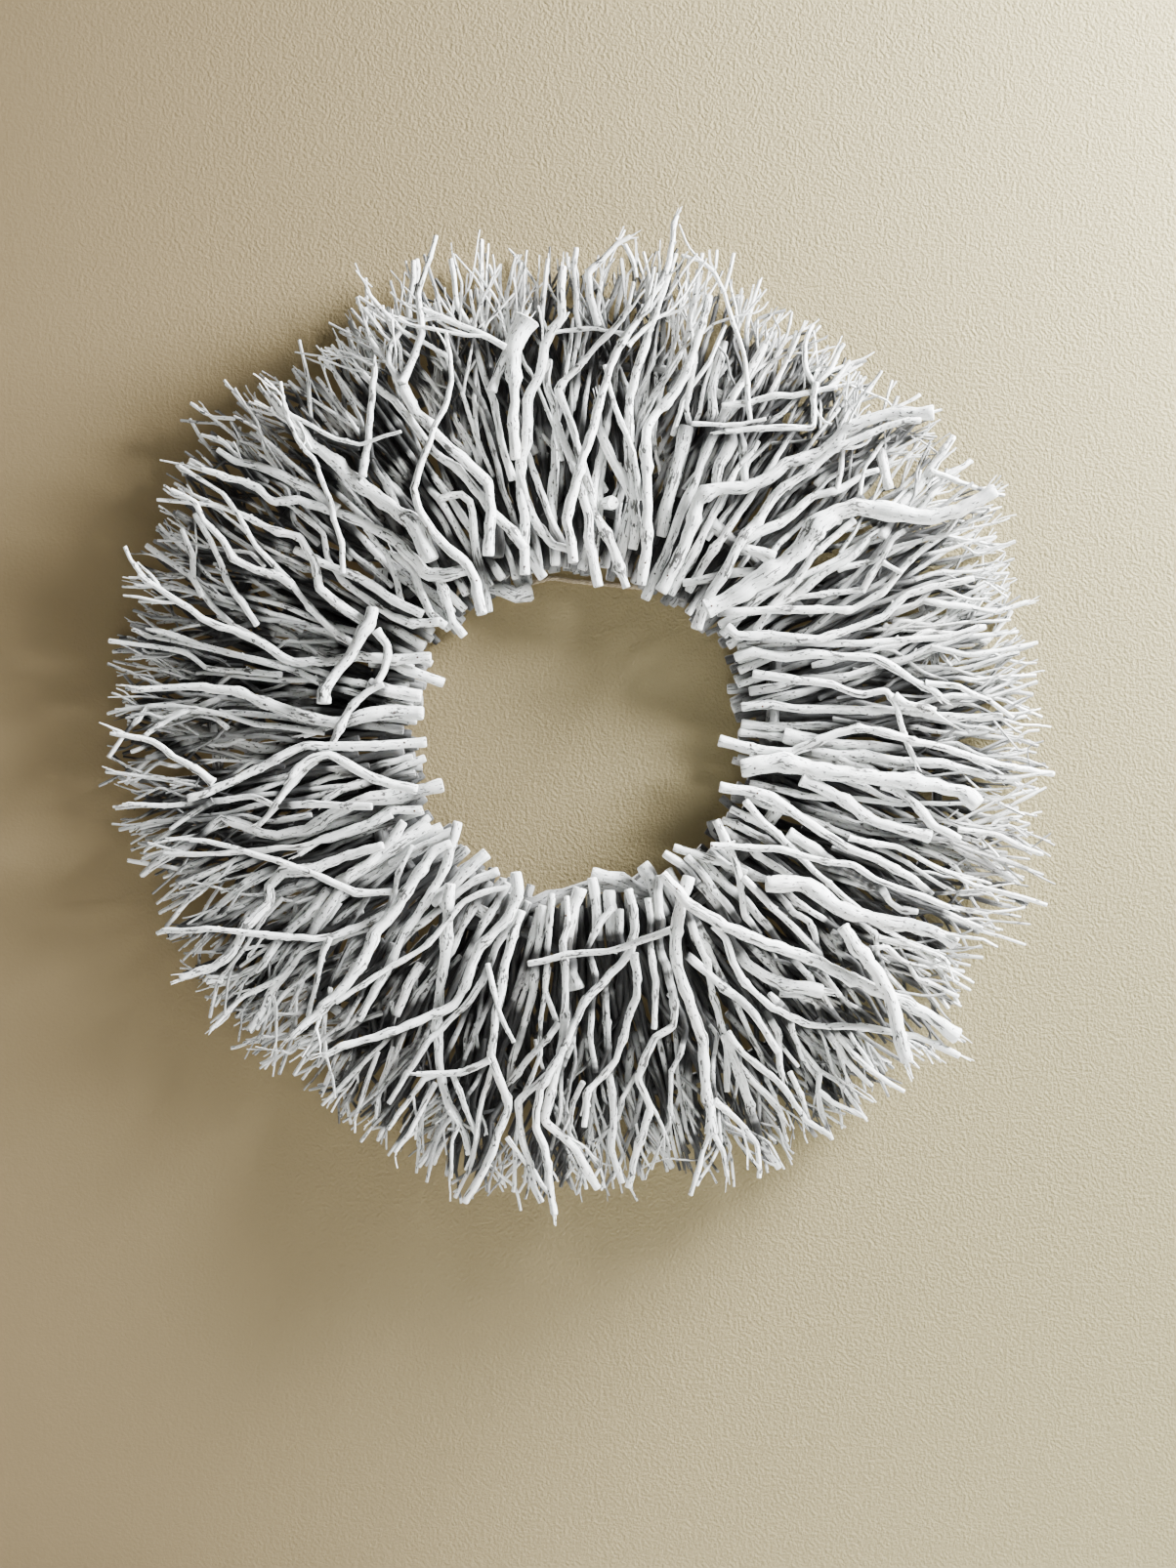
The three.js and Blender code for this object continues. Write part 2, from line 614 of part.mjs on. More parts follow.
function branchSolid(branch) {
  const points = branch.points.map(([u, v], i) => place(u, v, branch.heights[i]));
  return stickSolid(points, branch.radii, branch.sides);
}

const pile = new Pile();
const pieces = [];
const laid = [];
const draw = seededDraw(SEED);

function addPiece(name, material) {
  pieces.push({ name, material, solid: null });
  return pieces.length - 1;
}

function isWhole(solid) {
  return solid.decompose().length === 1;
}

function keep(branch, piece, solid) {
  branch.index = laid.length;
  laid.push({ branch, piece });
  pile.lay(branch, piece, branch.index);
  pieces[piece].solid = pieces[piece].solid ? pieces[piece].solid.add(solid) : solid;
}

// A nail from a branch back into the nearest branch of its piece straight behind it.
function nailTo(branch, piece) {
  let best = null;
  for (const sample of branch.samples) {
    let top = -Infinity;
    let clear = true;
    pile.around(sample.u, sample.v, PEG_RADIUS + CLEARANCE, (cell) => {
      if (pile.piece[cell] !== piece) clear = false;
      top = Math.max(top, pile.top[cell]);
    });
    const gap = branch.height(sample) - top;
    if (clear && gap < PEG_REACH && gap < (best?.gap ?? Infinity)) best = { sample, gap, top };
  }
  if (!best) return null;
  const { u, v } = best.sample;
  const ends = [branch.height(best.sample), best.top - 2 * SINK];
  const points = ends.map((height) => place(u, v + (height - ends[0]) * 1e-3, height));
  return stickSolid(points, [PEG_RADIUS, PEG_RADIUS], SLIM_SIDES);
}

// Lays a branch in the first of the given pieces that it joins into one body.
function layBranch(branch, candidates, lift) {
  const options = candidates.filter((piece, i) => candidates.indexOf(piece) === i);
  for (const useNail of [false, true]) {
    for (const piece of options) {
      settle(branch, pile, piece, { lift });
      let solid = branchSolid(branch);
      if (useNail) {
        const nail = pieces[piece].solid && nailTo(branch, piece);
        if (!nail) continue;
        solid = solid.add(nail);
      }
      if (!pieces[piece].solid || isWhole(pieces[piece].solid.add(solid))) {
        keep(branch, piece, solid);
        return piece;
      }
    }
  }
  return -1;
}

// Lays an arm that grows from the middle of its parent.
function growFrom(parent, piece, row, lift) {
  const arm = new Branch(row);
  const start = parent.height(parent.nearest(...row.points[0]).sample);
  settle(arm, pile, piece, { parent: parent.index, start, lift });
  const solid = branchSolid(arm);
  if (!isWhole(pieces[piece].solid.add(solid))) return false;
  keep(arm, piece, solid);
  return true;
}

// Lets a branch that joins nothing where it lies grow from one of the branches near its root.
function graft(row, lift) {
  const near = laid
    .filter(({ piece }) => /bunch|branch/.test(pieces[piece].name))
    .map(({ branch, piece }) => ({ branch, piece, ...branch.nearest(...row.points[0]) }))
    .filter(({ distance }) => distance < GRAFT_REACH)
    .sort((a, b) => a.distance - b.distance)
    .slice(0, GRAFT_TRIES);
  const grown = near.some(({ branch, piece, sample }) => {
    const points = [[sample.u, sample.v], ...row.points];
    return growFrom(branch, piece, { ...row, points }, lift);
  });
  if (!grown) throw new Error(`No seat for the branch from ${row.points[0]}`);
}

function layArm(row, parent, piece, lift) {
  if (growFrom(parent, piece, row, lift)) return;
  const arm = new Branch(row);
  if (layBranch(arm, [piece, ...bunchesUnder(arm)], lift) >= 0) return;
  graft(row, lift);
}

function bunchesUnder(branch) {
  return pile.piecesUnder(branch).filter((i) => pieces[i].name.includes("bunch"));
}

// The outer hoop lies on the wall, every other stick over the ends of its neighbours.
function layOuterHoop() {
  const half = Math.PI / OUTER_HOOP_STICKS + OUTER_HOOP_OVERLAP;
  const flat = (OUTER_HOOP_DIAMETER / 2) * CORNERED;
  for (const parity of [0, 1]) {
    for (let k = parity; k < OUTER_HOOP_STICKS; k += 2) {
      const middle = (2 * Math.PI * (k + 0.5)) / OUTER_HOOP_STICKS;
      const points = OUTER_HOOP_BENDS.map((step) => [
        CENTRE[0] + OUTER_HOOP_RADIUS * Math.cos(middle + half * step),
        CENTRE[1] - OUTER_HOOP_RADIUS * Math.sin(middle + half * step),
      ]);
      const stick = new Branch({ diameters: [OUTER_HOOP_DIAMETER], points }, HOOP_SIDES);
      const piece = addPiece(`outer_hoop_${twoDigits(k + 1)}`, GREY_WASH);
      settle(stick, pile, piece, {});
      if (parity === 0) stick.heights = stick.points.map(() => flat);
      keep(stick, piece, branchSolid(stick));
    }
  }
}

function layHoopSticks(rows, first) {
  rows.forEach((row, k) => {
    const stick = new Branch(row, HOOP_SIDES);
    const piece = addPiece(`hoop_bunch_${twoDigits(first + k + 1)}`, GREY_WASH);
    settle(stick, pile, piece, { floor: INNER_HOOP_STANDOFF + stick.radii[0] });
    keep(stick, piece, branchSolid(stick));
  });
}

// The rope runs close to the wall, over the hook and down to a loop round a hoop stick at each
// side.
function layRope() {
  const piece = addPiece("hanging_rope", JUTE);
  const ends = ROPE_LOOPS.map(([u, v], k) => {
    const held = `hoop_bunch_${twoDigits(ROPE_LOOP_STICKS[k])}`;
    const { branch } = laid.find((entry) => pieces[entry.piece].name === held);
    const { sample } = branch.nearest(u, v);
    const centre = branch.height(sample);
    const loop = sample.radius + ROPE_LOOP_SLACK + ROPE_RADIUS;
    const along = place(...branch.points[1], 0).sub(place(...branch.points[0], 0)).normalize();
    const ring = new THREE.TorusGeometry(loop, ROPE_RADIUS, ROPE_LOOP_SIDES, ROPE_LOOP_STEPS);
    ring.applyQuaternion(new THREE.Quaternion().setFromUnitVectors(new THREE.Vector3(0, 0, 1), along));
    const middle = place(sample.u, sample.v, centre);
    ring.translate(middle.x, middle.y, middle.z);
    for (let step = -loop; step <= loop; step += STEP) {
      const height = centre + Math.sqrt(loop ** 2 - step ** 2) + ROPE_RADIUS;
      pile.cover(sample.u + along.z * step, sample.v + along.x * step, ROPE_RADIUS, height, piece);
    }
    return { u: sample.u, v: sample.v, height: centre - loop, ring: solidOf(ring) };
  });
  const height = WALL_GAP + ROPE_RADIUS;
  const route = [ends[0], { u: HOOK[0], v: HOOK[1], height }, ends[1]];
  const points = route.map(({ u, v }) => [u, v]);
  const rope = new Branch({ diameters: [2 * ROPE_RADIUS], points }, ROPE_SIDES);
  rope.heights = route.map((stop) => stop.height);
  keep(rope, piece, branchSolid(rope).add(ends[0].ring).add(ends[1].ring));
}

// Plain branches behind the drawn ones, all the way round and out to the tips.
function layFill() {
  for (let k = 0; k < FILL_BRANCHES; k += 1) {
    const angle = (2 * Math.PI * (k + draw(...FILL_SPREAD))) / FILL_BRANCHES;
    const skew = draw(...FILL_SKEW);
    const bow = draw(...FILL_BOW);
    const [root, tip] = [draw(...FILL_ROOT), draw(...FILL_TIP)];
    const at = (share) => {
      const radius = root + (tip - root) * share;
      const turn = angle + skew * share + bow * Math.sin(Math.PI * share);
      return [CENTRE[0] + radius * Math.cos(turn), CENTRE[1] - radius * Math.sin(turn)];
    };
    const points = FILL_BENDS.map(at);
    const diameter = draw(...FILL_DIAMETER);
    const lift = draw(...FILL_LIFT);
    const row = { diameters: [diameter, FILL_TIP_DIAMETER], points };
    const branch = new Branch(row);
    if (layBranch(branch, bunchesUnder(branch), lift) < 0) graft(row, lift);
  }
}

function bunchOf(branch) {
  const middle = branch.samples[Math.floor(branch.samples.length / 2)];
  const angle = Math.atan2(CENTRE[1] - middle.v, middle.u - CENTRE[0]);
  const turn = (angle / (2 * Math.PI)) * FRONT_BUNCHES;
  return (Math.round(turn) + FRONT_BUNCHES) % FRONT_BUNCHES;
}

function layDrawn(fronts) {
  const rows = readChart(BRANCHES).sort((a, b) => a.rank - b.rank);
  for (const row of rows) {
    const branch = new Branch(row);
    const lift = draw(...(row.rank >= FRONT_RANK ? FRONT_LIFT : DEEP_LIFT));
    let piece = -1;
    if (row.name) {
      piece = addPiece(row.name, WHITEWASH);
      settle(branch, pile, piece, { lift });
      keep(branch, piece, branchSolid(branch));
    } else {
      const under = bunchesUnder(branch);
      const front = fronts[bunchOf(branch)];
      const opens = row.rank >= FRONT_RANK && (!pieces[front].solid || under.includes(front));
      const fronted = under.filter((i) => row.rank >= FRONT_RANK && fronts.includes(i));
      piece = layBranch(branch, [...(opens ? [front] : []), ...fronted, ...under], lift);
    }
    if (piece < 0) {
      graft(row, lift);
      continue;
    }
    for (const arm of row.arms) layArm(arm, branch, piece, lift);
  }
}

const group = new THREE.Group();
layOuterHoop();
const hoopRows = readChart(INNER_HOOP);
layHoopSticks(hoopRows.slice(0, INNER_HOOP_LOWER), 0);
layRope();
layHoopSticks(hoopRows.slice(INNER_HOOP_LOWER), INNER_HOOP_LOWER);
layFill();
const fronts = [];
for (let k = 0; k < FRONT_BUNCHES; k += 1) {
  fronts.push(addPiece(`front_bunch_${twoDigits(k + 1)}`, WHITEWASH));
}
layDrawn(fronts);

for (const piece of pieces) {
  if (!piece.solid) continue;
  const { vertProperties, triVerts } = piece.solid.getMesh();
  const geometry = new THREE.BufferGeometry();
  geometry.setAttribute("position", new THREE.BufferAttribute(Float32Array.from(vertProperties), 3));
  geometry.setIndex(new THREE.BufferAttribute(Uint32Array.from(triVerts), 1));
  geometry.computeVertexNormals();
  const mesh = new THREE.Mesh(geometry, piece.material);
  mesh.name = piece.name;
  group.add(mesh);
}

export default group;
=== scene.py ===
import functools
import json
import math

import bpy
import numpy as np
from bpy.props import FloatProperty, FloatVectorProperty, IntProperty, PointerProperty
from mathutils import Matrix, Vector
from mathutils.kdtree import KDTree

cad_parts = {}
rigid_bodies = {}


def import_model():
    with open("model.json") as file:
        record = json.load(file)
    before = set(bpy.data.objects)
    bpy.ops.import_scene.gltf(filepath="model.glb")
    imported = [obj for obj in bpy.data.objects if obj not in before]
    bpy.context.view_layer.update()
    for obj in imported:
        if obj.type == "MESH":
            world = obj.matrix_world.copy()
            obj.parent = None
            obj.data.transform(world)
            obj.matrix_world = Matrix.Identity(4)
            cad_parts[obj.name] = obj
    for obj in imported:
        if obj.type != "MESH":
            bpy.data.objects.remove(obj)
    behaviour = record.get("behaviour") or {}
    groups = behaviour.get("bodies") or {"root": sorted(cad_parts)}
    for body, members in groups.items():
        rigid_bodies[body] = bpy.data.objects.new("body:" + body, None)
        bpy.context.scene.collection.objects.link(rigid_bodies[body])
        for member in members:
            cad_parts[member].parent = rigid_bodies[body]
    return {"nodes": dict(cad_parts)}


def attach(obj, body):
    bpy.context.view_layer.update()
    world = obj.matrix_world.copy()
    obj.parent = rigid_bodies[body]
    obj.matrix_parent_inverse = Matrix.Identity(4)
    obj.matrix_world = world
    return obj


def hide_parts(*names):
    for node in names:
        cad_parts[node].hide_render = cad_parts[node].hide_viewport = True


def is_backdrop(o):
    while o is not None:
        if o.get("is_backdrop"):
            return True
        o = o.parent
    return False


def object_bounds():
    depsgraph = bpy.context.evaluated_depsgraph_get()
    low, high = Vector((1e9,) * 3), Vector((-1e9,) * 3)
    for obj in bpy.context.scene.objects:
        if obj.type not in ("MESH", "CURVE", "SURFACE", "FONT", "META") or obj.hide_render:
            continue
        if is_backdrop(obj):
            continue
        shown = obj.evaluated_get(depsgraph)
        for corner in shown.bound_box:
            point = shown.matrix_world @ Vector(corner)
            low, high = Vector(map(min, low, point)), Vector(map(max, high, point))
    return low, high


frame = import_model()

# Dresses a round wreath of whitewashed branches, as it hangs on a wall. The branches are drawn
# on the same chart as the CAD sticks, in millimetres across from the left and down from the
# top. How far each one stands off the wall is read from the corners of its CAD stick.

bl_info = {
    "name": "Whitewashed Branch Wreath",
    "version": (1, 0, 0),
    "blender": (4, 5, 0),
    "location": "3D View > Sidebar > Wreath",
    "description": "Dresses the sticks of a branch wreath as weathered, whitewashed wood",
    "category": "Object",
}

CAD_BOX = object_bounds()

MM = 0.001
HOOK = (560, 586)
CENTRE = np.array([592.0, 750.0])
STRAIGHTNESS = 3.5
GRAFT_REACH = 60
CORNER_REACH = 0.3
EVEN_CORNERS = 0.6
LEAST_MATCHES = 3

FILL_SEED = 3
FILL_BRANCHES = 84
FILL_ROOT = (167, 186)
FILL_TIP = (400, 482)
FILL_DIAMETER = (8, 12)
FILL_TIP_DIAMETER = 4
FILL_BENDS = (0, 0.35, 0.7, 1)
FILL_SPREAD = (-0.3, 0.3)
FILL_SKEW = (-0.13, 0.13)
FILL_BOW = (-0.03, 0.03)
FILL_LIFT = (0, 0.03)

OUTER_HOOP_RADIUS = 388
OUTER_HOOP_STICKS = 8
OUTER_HOOP_OVERLAP = 0.035
OUTER_HOOP_DIAMETER = 12
OUTER_HOOP_BENDS = (-1, -0.35, 0.35, 1)

# How many faces go round a stick, from the fewest to the most.
TWIG, SLIM, THICK = 0, 1, 2

# A stick as it is dressed: its girth as a share of the drawn one, how sharp its bends stay, and
# its rings, in radii of the stick. A stick that lies low is coarser, and sooner counts as a twig.
ROUND_SHARE = 0.9
CRISP = 0.85
RING_SPACING = 1.05
RING_LIMITS = (2.2, 6.0)
COARSE = 2.7
COARSE_HEIGHT = 48
COARSE_TWIG = 1.7
GRAIN_START = (0, 3000)
WALL_SPACE = 1.2
MOST_HEIGHT = 132
SHARP_ANGLE = math.radians(52)

# Its knots. They are further apart on a thick stick, and their widths, kinks and rises are in
# radii of the stick.
KNOT_GAP_LEAST = 0.5
KNOT_GAP_RADIUS = 8
KNOT_GAPS = (0.5, 1.5)
KNOT_END = 6
KNOT_SWELL = (0.05, 1)
KNOT_SWELL_POWER = 2
KNOT_WIDTH = (0.6, 1.3)
KNOT_WEAR = (0, 1.2)
KNOT_WEAR_WIDTH = 1.6
KINK = (0.1, 0.9)
KINK_POWER = 1.5
KINK_RISE = 0.6

# Its slow waves, by wavelength, its ends and its lumps. A tip thicker than a club's radius swells.
WOBBLE_WAVES = (23.0, 41.0, 75.0)
WOBBLE_FADE = 12
WOBBLE = 0.08
WOBBLE_RISE = (-0.5, 0.5)
GIRTH_WAVES = (37.0, 83.0)
GIRTH_SWING = 0.11
CLUB_RADIUS = 4.5
CLUB_SWELL = (0.1, 0.45)
CLUB_LENGTH = 2.5
FORK_FLARE = 0.35
FORK_FLARE_LENGTH = 1.6
BEVEL = 0.86
BEVEL_SHARE = 0.2
LUMP_STRETCH = 2.5

# Painted shade on the sticks, by how far each lies behind the front: full light up to the lit
# depth behind it, none at the dark depth. Painted light comes back near the hole and at the rim:
# from which distance to the centre on, where it is full, and its share there. The thicket's sticks
# get a further painted shade that is drawn for each.
CHART_REACH = 540
FRONT_CELL = 4.0
FRONT_SPREAD = 10
LIT_DEPTH = 2
DARK_DEPTH = 26
HOLE_LIGHT = (210, 175, 0.55)
RIM_LIGHT = (425, 500, 0.28)
HIDDEN_SHADE = (0.4, 1.0)
TONE_SWING = (-0.1, 0.1)

# The rim. It reaches as far as the tips in each direction, and at least to a circle, which lies a
# little high.
RIM_PLACES = 72
RIM_SPAN = math.radians(6)
RIM_RADIUS = 489
RIM_RISE = 14

# Side twigs. None start nearer the centre than the first distance, and they are at their densest
# from the second one on.
TWIG_START = 350
TWIG_FULL = 480
TWIG_BENDS = 4
TWIG_RING = 9.0
TWIG_CRISP = 0.8
TWIG_WANDER = 0.17
TWIG_WANDER_AXES = (1, 1, 0.6)
TWIG_OUTWARDS = 0.2
TWIG_ANGLE = (8, 34)
TWIG_RISE = (-0.5, 0.3)
TWIG_SPAN = (0.4, 1.5)
TWIG_GIRTH = (0.6, 1.4)
TWIG_MOST_GIRTH = 0.7
TWIG_TIP = 1.0
TWIG_LEAST = 9
TWIG_CHILDREN = 2
TWIG_CHILD_PLACE = (0.25, 0.85)
TWIG_CHILD_SPAN = (0.3, 0.65)
TWIG_CHILD_GIRTH = 0.8
TWIG_RIM = (0.92, 1.01)
HIDDEN_TWIGS = 2.2

# Stubs of broken twigs, and the splinters of a torn tip.
STUB = (2, 7)
STUB_SPACING = 75
STUB_COUNT = 2
STUB_GIRTH = (0.3, 0.5)
STUB_TAPER = np.array([1.3, 1.0, 0.9, 0.75])
TORN_LEAST_RADIUS = 2.2
SPLINTER = (6, 15)
SPLINTERS = (3, 7)
SPLINTER_ROOT = 2
SPLINTER_SPREAD = 0.4
SPLINTER_TURN = 0.16
SPLINTER_RADII = (0.8, 0.7, 0.55, 0.25)

# The thicket's layers: how many branches, where their roots and tips lie from the centre, how
# thick these are, and their height as a share of the usual one there.
THICKET = (
    (100, (165, 205), (270, 400), (11, 15), (6, 9), (0.1, 0.2)),
    (190, (163, 196), (380, 460), (9, 14), (4, 6), (0.12, 0.3)),
    (130, (168, 230), (390, 480), (7, 12), (3.5, 6), (0.3, 0.6)),
    (140, (240, 330), (450, 505), (7, 11), (4, 6), (0.15, 0.4)),
    (250, (215, 370), (462, 518), (4.5, 8), (2.8, 4.6), (0.35, 1.0)),
)
THICKET_SEED = 71
THICKET_SPREAD = (-0.5, 0.5)
THICKET_SKEW = (-0.16, 0.16)
THICKET_BOW = (-0.04, 0.04)
THICKET_POINTS = 6
THICKET_KINK = 4.5
THICKET_LIFT = 3
THICKET_RIM = (0.94, 1.0)
STUMP_POINTS = ((611, 509), (628, 513))
STUMP_HEIGHTS = (16, 54)
STUMP_DIAMETER = 13
FORKS = 3
FORK_PLACE = (0.3, 0.75)
FORK_ANGLE = (12, 34)
FORK_SPAN = (0.35, 0.75)
FORK_SHARE = 0.72
FORK_RISE = (-2, 3)
FORK_BENDS = (0, 0.4, 0.7, 1)
PILE_STEP = 6.0
PILE_REACH = 15.0
PILE_LEAST = 3

ROPE_DIAMETER = 5.2
ROPE_STRANDS = 3
ROPE_STRAND_RADIUS = 1.35
ROPE_LAY = 17.0
ROPE_STEP = 1.1
ROPE_LOOP_SLACK = 0.4
ROPE_LOOPS = ((470, 598), (794.5, 619))
ROPE_LOOP_NODES = ("hoop_bunch_01", "hoop_bunch_04")
ROPE_LOOP_SHIFT = 5.6
ROPE_LOOP_TURN = 16
ROPE_BEND = 9
ROPE_BEND_STEPS = 6
ROPE_STRAIGHT = (0.3, 0.6, 0.9)
ROPE_FIRST_SIDE = (0.3, 0.2, 1.0)

NAIL_HEAD = 1.25
NAIL_DOME = 0.55
NAIL_SEGMENTS = 10
NAIL_RINGS = 6
NAIL_RING = (176, 196)
NAIL_LEAST_RADIUS = 3.6

# The camera looks square at the wall. At the focus height off it, in metres, the view is as many
# millimetres wide as the photograph is in pixels.
PHOTO_WIDTH = 1204
PHOTO_MIDDLE = (602, 803)
CAMERA_DISTANCE = 2.1
FOCUS_HEIGHT = 0.07
SENSOR = 36.0

# The stage, in metres. The wall's plane lies just behind the wreath.
WALL_SIZE = (5.0, 3.6)
WALL_BEHIND = 0.0006
FLOOR_DROP = 0.85
FLOOR_DEPTH = 4.0
AIM_HEIGHT = 0.05
AIR_COLOUR = (0.93, 0.96, 1.0)
AIR_STRENGTH = 0.03

# The lights: their place, size across, watts and tint.
LIGHTS = {
    "window": ((1.75, -0.5, 0.95), 0.9, 620.0, (0.98, 0.99, 1.0)),
    "room": ((0.3, -3.0, 0.9), 1.2, 7.0, (1.0, 0.965, 0.91)),
    "back": ((-0.7, 2.3, 0.6), 1.2, 110.0, (1.0, 0.99, 0.97)),
}

# The wood's noises: their scale across the grain and along it, their own scale, their detail and
# their roughness.
WOOD_NOISES = {
    "streaks": (480, 26, 1.0, 5.0, 0.62),
    "fibres": (1000, 30, 1.7, 3.0, 0.6),
    "patches": (160, 50, 1.0, 3.0, 0.5),
    "mottle": (260, 120, 1.0, 4.0, 0.65),
    "worn": (420, 70, 1.0, 4.0, 0.7),
    "slits": (430, 42, 1.0, 2.0, 0.5),
    "specks": (420, 190, 1.0, 1.0, 0.5),
}
TINT_SCALE = 16.0

# The paint's stains: the noise, where it starts and is full, its strength and its colour.
STREAKED = (0.46, 0.7)
STAINS = (
    ("streaks", STREAKED, 0.55, "streak"),
    ("patches", (0.5, 0.68), 0.6, "thin_paint"),
    ("mottle", (0.48, 0.66), 0.4, "thin_paint"),
    ("tint", (0.5, 0.75), 0.28, "warm_tint"),
)

# Where the paint has gone, more so at knots: worn off, at a sawn end, towards the wall, or split.
# The painted shade starts at the first painted light, that of the front, and is full at the
# second, that of the darkest depth.
BARE = (0.71, 0.77)
BARE_AT_KNOTS = 0.07
SAWN_SHARE = 0.3
LIT_TONE = (1.0, 0.1)
WALLWARD = (0.25, 0.8)
SLIT = (0.65, 0.67)
SPECK = (0.67, 0.69)
SPLIT_AT_KNOTS = 0.12
SPLIT_SHARE = 0.92

# How far each layer stands out of the wood, the bump's strength and its distance in metres, and
# how rough the paint is.
WOOD_RELIEF = {"streaks": 0.5, "fibres": 0.5, "mottle": 0.6, "bare": -0.4, "split": -1.2}
WOOD_BUMP = (0.8, 0.0011)
WOOD_ROUGHNESS = 0.62
STREAK_ROUGHNESS = 0.2
BARE_ROUGHNESS = 0.12

# The two finishes of the wood: the material's name, and how much more of the wood shows.
WOOD_FINISHES = {"whitewash": ("Whitewash", 0.0), "grey_wash": ("Grey wash", 0.03)}

JUTE_YARN = (1600, 1600, 220)
JUTE_FUZZ = (2600, 2600, 900)
JUTE_DARK = (0.35, 0.68)
JUTE_BUMP = (0.8, 0.0006)
NAIL_RUST_SCALE = 900.0
NAIL_RUSTED = (0.45, 0.65)
WALL_GRAIN_SCALE = 300.0
# The wall's painted shade: darker and warmer away from the window, by place across and a broad noise.
WALL_SHADE_SCALE = 1.6
WALL_SHADE_UNEVEN = 0.2
WALL_SHADED = (0.95, -0.7)
WALL_RELIEF = (-0.9, 0.5)
WALL_BUMP = (1.0, 0.0026)
FLOOR_CLOUD_SCALE = 3.0
FLOOR_CLOUDED = (0.4, 0.7)
FLOOR_DARKER = 0.94

# The inner hoop. Each stick: its diameters from end to end, then its points on the chart.
# The lower sticks lie behind, and the upper ones cross over their ends.
INNER_HOOP = """
17,16 372,596 543,600
16,14 372,842 482,952
16,15 476,950 664,899
17,16 794,574 797,870
20,18 574,495 762,557
16,15 386,578 390,882
14,13 440,918 574,977
15,14 606,896 738,944
16,15 698,938 806,818
15,14 824,620 728,530
16,15 410,605 620,490
"""

